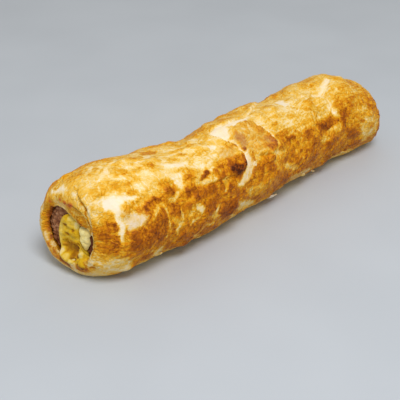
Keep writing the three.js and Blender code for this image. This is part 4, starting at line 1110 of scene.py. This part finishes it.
def build_flake(index, s, angle, half_long, half_wide, heading, tip, tone):
    """A thin flake of the top layer that has curled up from the skin at one end."""
    rows, half = 17, 9
    u = np.linspace(-1, 1, rows + 2)[1:-1, None]
    v = np.linspace(-1, 1, half)
    across = np.concatenate([v, v[::-1]])
    under = np.repeat([0.0, 1.0], half)
    wide = half_wide * np.sqrt(1 - np.abs(u) ** 2.4) * (1 - 0.3 * u)
    turn = math.radians(heading)

    def at(u, aside, under):
        along = half_long * u + 0.5 * np.sin(5 * aside + index)
        flake_s = s + along * math.cos(turn) - aside * math.sin(turn)
        flake_a = angle + np.degrees((along * math.sin(turn) + aside * math.cos(turn)) / MEAN_RADIUS)
        raised = (tip + 0.5) * smoothstep(u, -0.9, 1.0) ** 1.5 - 0.5
        lift = skin_relief(flake_s, flake_a)[0] + raised - FLAKE_THICKNESS * under
        return skin_point(flake_s, flake_a, lift), skin_coordinates(flake_s, flake_a)

    rings, skin = at(u, across * wide, under)
    ends = [at(np.array([side]), np.zeros(1), np.full(1, 0.5))[0][0] for side in (-1.0, 1.0)]
    fields = {"tone": tone + 0.12 * noise(skin, 2.0, 401), "along": skin[..., 0], "round": skin[..., 1]}
    fields = {key: np.append(values, [values.flat[0], values.flat[-1]]) for key, values in fields.items()}
    return build_shell("flake_%d" % index, rings, *ends, fields)


def face_points(y, z, seed):
    return np.stack([y, z, np.full_like(y, float(seed))], -1)


def meat_lumps(y, z, seed):
    """Coarse crumbs of cooked ground meat on a cut face, 0 to about 1."""
    p = face_points(y, z, seed)
    lump = 1 - cells(warped(p, 2.2, 0.8, 201), 2.3, 203) ** 2
    return 0.6 * lump + 0.4 * (0.5 + 0.5 * fractal(p, 2.6, 211, 3))


def build_meat():
    """The meat as a closed sleeve: near face, outside, far face and back beside the cheeses."""
    around, face_rings, rod_rings = 200, 26, 12
    angle = 2 * PI * np.arange(around) / around
    circle = {"y": 0.0, "z": 0.0, "half_width": MEAT_RADIUS, "half_height": MEAT_RADIUS}
    outer = ray_to_oval(MEAT_CENTRE, angle, circle, 0.0, True)
    inner = np.maximum(ray_to_oval(MEAT_CENTRE, angle, YELLOW_CORE, CLEARANCE, True),
                       ray_to_oval(MEAT_CENTRE, angle, PALE_STICK, CLEARANCE, True))
    rings, tones = [], []

    def add(s, share, crumbs=0.0, sign=1):
        """One ring, at a share of the way from the cheeses to the outside."""
        far = mix(inner, outer, share)
        y, z = MEAT_CENTRE[0] + far * np.cos(angle), MEAT_CENTRE[1] + far * np.sin(angle)
        lumps = meat_lumps(y, z, 7 if sign > 0 else 40)
        if sign > 0 and crumbs > 0:
            # The meat comes further forward beside the pale cheese.
            s = s - 1.6 * smoothstep(-y, 10.2, 11.4) * within(z, -9, 1.5, 2.5)
        rings.append(filling_place(s - sign * crumbs * (lumps - 0.35), y, z))
        tones.append(np.clip(0.15 + 0.8 * lumps - 0.3 * smoothstep(-z, 3, 8), 0, 1))

    def add_face(s, sign, shares):
        """A crumbly face, smoother at its borders and drawn in a little at its outside."""
        for share in shares:
            edge = 1.0 - 0.5 * (smoothstep(share, 0.92, 1) + 1 - smoothstep(share, 0, 0.08))
            add(s + sign * (share ** 6 - 0.1), share, MEAT_CRUMBS * edge, sign)

    shares = np.linspace(0, 1, face_rings)
    lengthwise = np.linspace(FILL_START + 2.0, FILL_END - 2.0, rod_rings)
    add_face(FILL_START, 1, shares)
    for s in lengthwise:
        add(s, 1.0)
    add_face(FILL_END, -1, shares[::-1])
    for s in lengthwise[::-1]:
        add(s, 0.0)
    rings = np.array(rings)
    faces = grid_faces(len(rings), around, wrap_rows=True)
    return make_object("meat_filling", rings, faces, {"tone": tones})


def build_crumb():
    """A lump of the meat that stands between the pale cheese and the rim."""
    rows, around = 30, 48
    polar = PI * (np.arange(1, rows) / rows)[:, None]
    turn = 2 * PI * np.arange(around) / around
    ball = (np.sin(polar) * np.cos(turn), np.sin(polar) * np.sin(turn), np.cos(polar))
    direction = np.stack(np.broadcast_arrays(*ball), -1)
    lump = 1 + 0.28 * fractal(direction * np.array([1.5, 1.6, 5.5]), 1.6, 281, 3)
    middle, half = np.array(CRUMB["middle"]), np.array(CRUMB["half"])

    def curved(offsets):
        """Points at offsets from the lump's middle, which follow the rim's curve."""
        s, y, z = np.moveaxis(middle + offsets, -1, 0)
        return place(s, y + 0.05 * offsets[..., 2] ** 2, z)

    tips = [curved(np.array([[0.0, 0.0, up * half[2]]]))[0] for up in (1, -1)]
    tone = np.append(0.05 + 0.4 * (lump - 1), [0.05, 0.05])
    return build_shell("meat_crumb", curved(direction * lump[..., None] * half), *tips, {"tone": tone})


def cheese_rod(name, centre, around, face, section, front, far_bulge, tones, undercut):
    """A filling with a moulded near face, a plain length and a swollen far face."""
    face_rings, rod_rings, far_rings = 43, 12, 21
    angle = 2 * PI * np.arange(around) / around
    face_reach, rod_reach = polar_outline(face, centre, angle), section(angle)
    rings, shades = [], []

    def at(reach):
        return centre[0] + reach * np.cos(angle), centre[1] + reach * np.sin(angle)

    def add(s, reach):
        y, z = at(reach)
        rings.append(filling_place(s, y, z))
        shades.append(tones(y, z))

    def far_face(y, z, share):
        """How far along the far face lies, at a share of the way out from its middle."""
        lumps = 0.5 * fractal(face_points(y, z, 90), 3.4, 221, 3)
        return FILL_END - 0.8 + (far_bulge + 0.8) * (1 - share ** 3) + lumps * (1 - share ** 4)

    for share in np.linspace(0, 1, face_rings + 1)[1:] ** 0.9:
        add(front(*at(face_reach * share), share), face_reach * share)
    # The face's edge turns back and narrows to the rod.
    edge = front(*at(face_reach), 1.0)
    for back in (0.3, 0.65, 1.0):
        add(mix(edge, np.maximum(edge, 3.75), back), face_reach * (1 - undercut * back))
    for back in (0.0, 0.5, 1.0):
        narrowed = mix(face_reach * (1 - undercut), rod_reach, smoothstep(back, -0.4, 1.0))
        add(FILL_START + 0.1 + 0.7 * back, narrowed)
    for s in np.linspace(FILL_START + 3.0, FILL_END - 2.0, rod_rings):
        add(s, rod_reach)
    for share in np.linspace(1, 0, far_rings + 1)[:-1]:
        add(far_face(*at(rod_reach * share), share), rod_reach * share)
    middle = np.array([centre[0]]), np.array([centre[1]])
    near_tip, far_tip = [filling_place(s, *middle)[0] for s in (front(*middle, 0.0), far_face(*middle, 0.0))]
    shade = np.append(shades, [tones(*middle), tones(*middle)])
    return build_shell(name, rings, near_tip, far_tip, {"tone": shade})


def oval_share(y, z, mark, points, seed):
    """1 at the middle of an oval mark, falling softly to 0 outside it."""
    cy, cz, wide, high = mark[:4]
    gap = np.hypot((y - cy) / wide, (z - cz) / high) + 0.3 * noise(points, 1.6, seed)
    return 1 - smoothstep(gap, 0.45, 1.25)


def yellow_front(y, z, share):
    """How deep in the opening the face of the yellow cheese lies."""
    p = face_points(y, z, 3)
    # It lies deepest at its top, and comes forward over the lower lip.
    low = smoothstep(-z, 10.2, 13.4)
    middle = mix(1.8, 0.3, low) + 0.9 * smoothstep(z, 4.5, 8.5)
    rim = mix(mix(3.2, 1.3, smoothstep(y, 1.0, 5.0)), 0.45, low)
    lumps = 0.4 * fractal(p, 3.0, 231, 3) + 0.2 * (cells(warped(p, 3, 0.8, 233), 2.4, 237) ** 2 - 0.4)
    shaped = sum(mark[4] * oval_share(y, z, mark, p, 235) for mark in CHEESE_LUMPS)
    return mix(middle, rim, share ** 6) + (lumps - shaped) * (1 - 0.7 * share ** 8)


def yellow_tone(y, z):
    p = face_points(y, z, 5)
    tone = 0.46 + 0.14 * fractal(p, 2.6, 241, 3)
    for mark in CHEESE_SPOTS:
        tone = mix(tone, mark[4], oval_share(y, z, mark, p, 251))
    return tone


def pale_front(y, z, share):
    """How deep in the opening the face of the pale cheese lies."""
    p = face_points(y, z, 9)
    lumps = 0.7 * fractal(p, 2.8, 261, 3) + 0.35 * (cells(warped(p, 2, 0.6, 263), 3.2, 267) ** 2 - 0.4)
    return mix(1.0, 2.7, share ** 4) + 0.9 * smoothstep(z, 3.5, 6.0) + lumps * (1 - share ** 6)


def pale_tone(y, z):
    p = face_points(y, z, 11)
    return 0.52 + 0.4 * fractal(p, 2.2, 271, 3) - 0.3 * smoothstep(-z, 2.5, 6.5)


def build_cheeses():
    def oval(angle):
        return ray_to_oval(YELLOW_CENTRE, angle, YELLOW_CORE, 0.0, True)

    def crescent(angle):
        own = ray_to_oval(PALE_CENTRE, angle, PALE_STICK, 0.0, True)
        return np.minimum(own, ray_to_oval(PALE_CENTRE, angle, YELLOW_CORE, CLEARANCE, False))

    yellow = cheese_rod("yellow_cheese_core", YELLOW_CENTRE, 160, YELLOW_FACE, oval, yellow_front,
                        far_bulge=1.6, tones=yellow_tone, undercut=0.05)
    pale = cheese_rod("pale_cheese_stick", PALE_CENTRE, 96, PALE_FACE, crescent, pale_front,
                      far_bulge=1.4, tones=pale_tone, undercut=0.3)
    return yellow, pale


pastry = build_pastry()
flakes = [build_flake(k, *flake) for k, flake in enumerate(FLAKES)]
meat = build_meat()
crumb = build_crumb()
yellow, pale = build_cheeses()

# ------------------------------------------------------------------ materials

# Colours by tone, in display values from 0 to 255.
PASTRY_RAMP = [
    (0.0, (249, 234, 208)), (0.18, (246, 218, 152)), (0.36, (242, 194, 78)), (0.5, (235, 168, 22)),
    (0.64, (220, 138, 0)), (0.78, (188, 106, 0)), (0.9, (146, 72, 0)), (1.0, (78, 30, 2)),
]
MEAT_RAMP = [(0.0, (96, 38, 6)), (0.35, (126, 74, 42)), (0.65, (166, 110, 72)), (1.0, (200, 150, 108))]
YELLOW_RAMP = [(0.0, (236, 216, 172)), (0.22, (232, 204, 104)), (0.45, (222, 178, 24)),
               (0.65, (184, 126, 8)), (0.82, (136, 80, 8)), (1.0, (84, 40, 8))]
PALE_RAMP = [(0.0, (220, 186, 92)), (0.3, (236, 210, 124)), (0.7, (246, 230, 158)), (1.0, (252, 244, 204))]
MAUVE = (176, 116, 82)
BLUSH = (206, 84, 44)
FAT = (206, 172, 148)
FLOOR_TINTS = ((189, 196, 205), (193, 200, 209))


def srgb(red, green, blue):
    """A linear colour with alpha from 0-255 display values."""
    values = np.array([red, green, blue]) / 255.0
    linear = np.where(values <= 0.04045, values / 12.92, ((values + 0.055) / 1.055) ** 2.4)
    return (*linear.tolist(), 1.0)


class Graph:
    """Short calls to build one material's node tree; sizes are in millimetres."""

    def __init__(self, name):
        self.material = bpy.data.materials.new(name)
        self.material.use_nodes = True
        self.tree = self.material.node_tree
        self.shader = self.tree.nodes["Principled BSDF"]
        self.place = self.node("ShaderNodeTexCoord").outputs["Object"]

    def node(self, kind, **settings):
        node = self.tree.nodes.new(kind)
        for key, value in settings.items():
            setattr(node, key, value)
        return node

    def put(self, socket, value):
        if isinstance(value, bpy.types.NodeSocket):
            self.tree.links.new(value, socket)
        else:
            socket.default_value = value

    def attribute(self, name):
        return self.node("ShaderNodeAttribute", attribute_name=name).outputs["Fac"]

    def noise(self, size_mm, detail=3.0, distortion=0.0, where=None, roughness=0.55):
        node = self.node("ShaderNodeTexNoise")
        self.put(node.inputs["Vector"], where or self.place)
        self.put(node.inputs["Scale"], 1.0 / (size_mm * MM))
        self.put(node.inputs["Detail"], detail)
        self.put(node.inputs["Roughness"], roughness)
        self.put(node.inputs["Distortion"], distortion)
        return node.outputs["Fac"]

    def cells(self, size_mm, feature="F1", where=None):
        node = self.node("ShaderNodeTexVoronoi", feature=feature)
        self.put(node.inputs["Vector"], where or self.place)
        self.put(node.inputs["Scale"], 1.0 / (size_mm * MM))
        return node.outputs["Distance"]

    def math(self, operation, a, b=0.0, c=0.0, clamp=False):
        node = self.node("ShaderNodeMath", operation=operation, use_clamp=clamp)
        for socket, value in zip(node.inputs, (a, b, c)):
            self.put(socket, value)
        return node.outputs[0]

    def span(self, value, low, high, to_low=0.0, to_high=1.0):
        node = self.node("ShaderNodeMapRange", interpolation_type="SMOOTHSTEP")
        ends = {"From Min": low, "From Max": high, "To Min": to_low, "To Max": to_high}
        for key, item in {"Value": value, **ends}.items():
            self.put(node.inputs[key], item)
        return node.outputs["Result"]

    def ramp(self, value, stops):
        node = self.node("ShaderNodeValToRGB")
        elements = node.color_ramp.elements
        while len(elements) < len(stops):
            elements.new(0.5)
        for element, (at, colour) in zip(elements, stops):
            element.position = at
            element.color = srgb(*colour)
        self.put(node.inputs["Fac"], value)
        return node.outputs["Color"]

    def mix(self, share, a, b, blend="MIX"):
        node = self.node("ShaderNodeMix", data_type="RGBA", blend_type=blend)
        self.put(node.inputs[0], share)
        self.put(node.inputs[6], a)
        self.put(node.inputs[7], b)
        return node.outputs[2]

    def bump(self, height, distance_mm, strength=1.0):
        node = self.node("ShaderNodeBump")
        self.put(node.inputs["Height"], height)
        self.put(node.inputs["Distance"], distance_mm * MM)
        self.put(node.inputs["Strength"], strength)
        self.put(self.shader.inputs["Normal"], node.outputs["Normal"])

    def finish(self, colour, roughness, **constants):
        self.put(self.shader.inputs["Base Color"], colour)
        self.put(self.shader.inputs["Roughness"], roughness)
        for key, value in constants.items():
            self.shader.inputs[key.replace("_", " ")].default_value = value
        return self.material


def skin_vectors(g):
    """The unrolled skin as a texture vector, and the same drawn out round the roll."""
    skin = g.node("ShaderNodeCombineXYZ")
    g.put(skin.inputs[0], g.math("MULTIPLY", g.attribute("along"), 0.85 * MM))
    g.put(skin.inputs[1], g.math("MULTIPLY", g.attribute("round"), MM))
    drawn_out = g.node("ShaderNodeVectorMath", operation="MULTIPLY")
    g.put(drawn_out.inputs[0], skin.outputs[0])
    g.put(drawn_out.inputs[1], (1.0, 0.35, 1.0))
    return skin.outputs[0], drawn_out.outputs[0]


def wisp(g, skin, size_mm, swirl, width):
    """A thin wandering line, 1 at its middle: where a noise passes its mean."""
    aside = g.math("ABSOLUTE", g.math("SUBTRACT", g.noise(size_mm, 0.6, swirl, skin), 0.5))
    return g.span(aside, 0.0, width, 1.0, 0.0)


def pastry_material():
    g = Graph("baked_pastry")
    painted = g.attribute("tone")
    skin, drawn_out = skin_vectors(g)
    low = g.span(g.attribute("round"), 16, 26, 1.0, 0.0)
    patterns = (
        (g.noise(1.0, 2, 0.4, skin), 0.42),
        (g.noise(2.4, 3, 1.0, skin), g.math("MULTIPLY_ADD", low, 0.16, 0.26)),
        (g.noise(1.3, 2, 0.8, drawn_out), g.math("MULTIPLY", low, 0.4)),
    )
    shift = 0.0
    for pattern, amount in patterns:
        shift = g.math("MULTIPLY_ADD", g.math("SUBTRACT", pattern, 0.5), amount, shift)
    pale_wisp, dark_wisp = wisp(g, skin, 4.6, 1.0, 0.05), wisp(g, skin, 6.4, 1.2, 0.03)
    shift = g.math("MULTIPLY_ADD", pale_wisp, -0.14, shift)
    shift = g.math("MULTIPLY_ADD", dark_wisp, 0.1, shift)
    # Bare dough and charred skin show less of the pattern.
    shift = g.math("MULTIPLY", shift, g.span(painted, 0.0, 0.24, 0.3, 1.0))
    shift = g.math("MULTIPLY", shift, g.span(painted, 0.7, 0.9, 1.0, 0.5))
    colour = g.ramp(g.math("ADD", painted, shift, clamp=True), PASTRY_RAMP)
    # The mauve is dusty browning on the skin, and on the near end's lower lip it is also painted shade.
    colour = g.mix(g.math("MULTIPLY", g.attribute("mauve"), 0.6), colour, srgb(*MAUVE))
    colour = g.mix(g.math("MULTIPLY", g.attribute("red"), 0.85), colour, srgb(*BLUSH))
    domes = g.cells(1.5, "SMOOTH_F1", skin)
    height = g.math("MULTIPLY_ADD", domes, -0.8, g.noise(1.1, 4, 0.6, skin))
    height = g.math("MULTIPLY_ADD", pale_wisp, 0.25, height)
    height = g.math("MULTIPLY_ADD", dark_wisp, -0.25, height)
    g.bump(height, 0.65, g.span(painted, 0.05, 0.6, 0.25, 1.0))
    gloss = g.span(g.noise(2.2, 2), 0.35, 0.65, 0.34, 0.5)
    return g.finish(colour, gloss, Specular_IOR_Level=0.15)


def grainy_tone(g, size_mm, distortion, amount):
    """The mesh's tone with a fine grain."""
    grain = g.math("SUBTRACT", g.noise(size_mm, 3, distortion), 0.5)
    return g.math("ADD", g.attribute("tone"), g.math("MULTIPLY", grain, amount), clamp=True)


def meat_material():
    g = Graph("cooked_meat")
    specks = g.span(g.noise(1.6, 2, 0.5), 0.62, 0.7, 0.0, 0.5)
    fat = g.math("MULTIPLY", specks, g.span(g.attribute("tone"), 0.1, 0.4))
    colour = g.mix(fat, g.ramp(grainy_tone(g, 0.9, 0.4, 0.8), MEAT_RAMP), srgb(*FAT))
    g.bump(g.noise(0.7, 3), 0.5, 0.7)
    return g.finish(colour, g.span(g.noise(1.2, 2), 0.3, 0.7, 0.3, 0.6), Specular_IOR_Level=0.15)


def cheese_material(name, stops, glossy, dull):
    g = Graph(name)
    colour = g.ramp(grainy_tone(g, 1.2, 0.6, 0.4), stops)
    g.bump(g.noise(1.1, 3), 0.4, 0.5)
    return g.finish(colour, g.span(g.noise(1.8, 2), 0.3, 0.7, glossy, dull), Specular_IOR_Level=0.16)


def dress(piece, material, node):
    piece.data.materials.append(material)
    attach(piece, "root")
    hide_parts(node)


baked = pastry_material()
for piece in (pastry, *flakes):
    dress(piece, baked, "pastry")
ground_meat = meat_material()
dress(meat, ground_meat, "sausage_meat")
dress(crumb, ground_meat, "sausage_meat")
dress(yellow, cheese_material("melted_cheese", YELLOW_RAMP, 0.28, 0.45), "yellow_cheese")
dress(pale, cheese_material("soft_cheese", PALE_RAMP, 0.35, 0.5), "pale_cheese")

# ------------------------------------------------------------------ stage, light and camera

FLOOR_SIZE = 6
SKY = {"colour": (1.0, 0.965, 0.9, 1), "strength": 0.5}
LAMP = {"at": (-0.24, -0.4, 0.85), "size": 0.36, "energy": 5.7}
# The photo's camera: millimetres in the roll's own axes, and degrees down and round.
CAMERA = {"at": (-298.9, -295.0, 250.9), "elevation": 31.07, "heading": 43.06,
          "lens": 82.157, "sensor": 36.0}


def floor_material():
    g = Graph("floor")
    tint = g.span(g.noise(90, 2), 0.3, 0.7, 0.0, 1.0)
    return g.finish(g.mix(tint, *[srgb(*colour) for colour in FLOOR_TINTS]), 0.7)


def build_stage():
    bpy.ops.mesh.primitive_plane_add(size=FLOOR_SIZE)
    floor = bpy.context.object
    floor.name = "floor"
    floor.data.materials.append(floor_material())


def build_lights():
    """A warm even sky, and a softbox over the near side that is aimed at the roll."""
    world = bpy.data.worlds.new("studio")
    world.use_nodes = True
    sky = world.node_tree.nodes["Background"]
    sky.inputs["Color"].default_value = SKY["colour"]
    sky.inputs["Strength"].default_value = SKY["strength"]
    bpy.context.scene.world = world
    data = bpy.data.lights.new("softbox", "AREA")
    data.energy = LAMP["energy"]
    data.size = LAMP["size"]
    lamp = bpy.data.objects.new("softbox", data)
    lamp.location = LAMP["at"]
    lamp.rotation_euler = (-lamp.location).to_track_quat("-Z", "Y").to_euler()
    bpy.context.scene.collection.objects.link(lamp)


def build_camera():
    data = bpy.data.cameras.new("camera")
    data.lens = CAMERA["lens"]
    data.sensor_width = CAMERA["sensor"]
    camera = bpy.data.objects.new("camera", data)
    camera.location = (np.array(CAMERA["at"]) + SHIFT) * MM
    camera.rotation_euler = (math.radians(90 - CAMERA["elevation"]), 0, -math.radians(CAMERA["heading"]))
    bpy.context.scene.collection.objects.link(camera)
    bpy.context.scene.camera = camera


build_stage()
build_lights()
build_camera()
bpy.context.scene.view_settings.view_transform = "Standard"
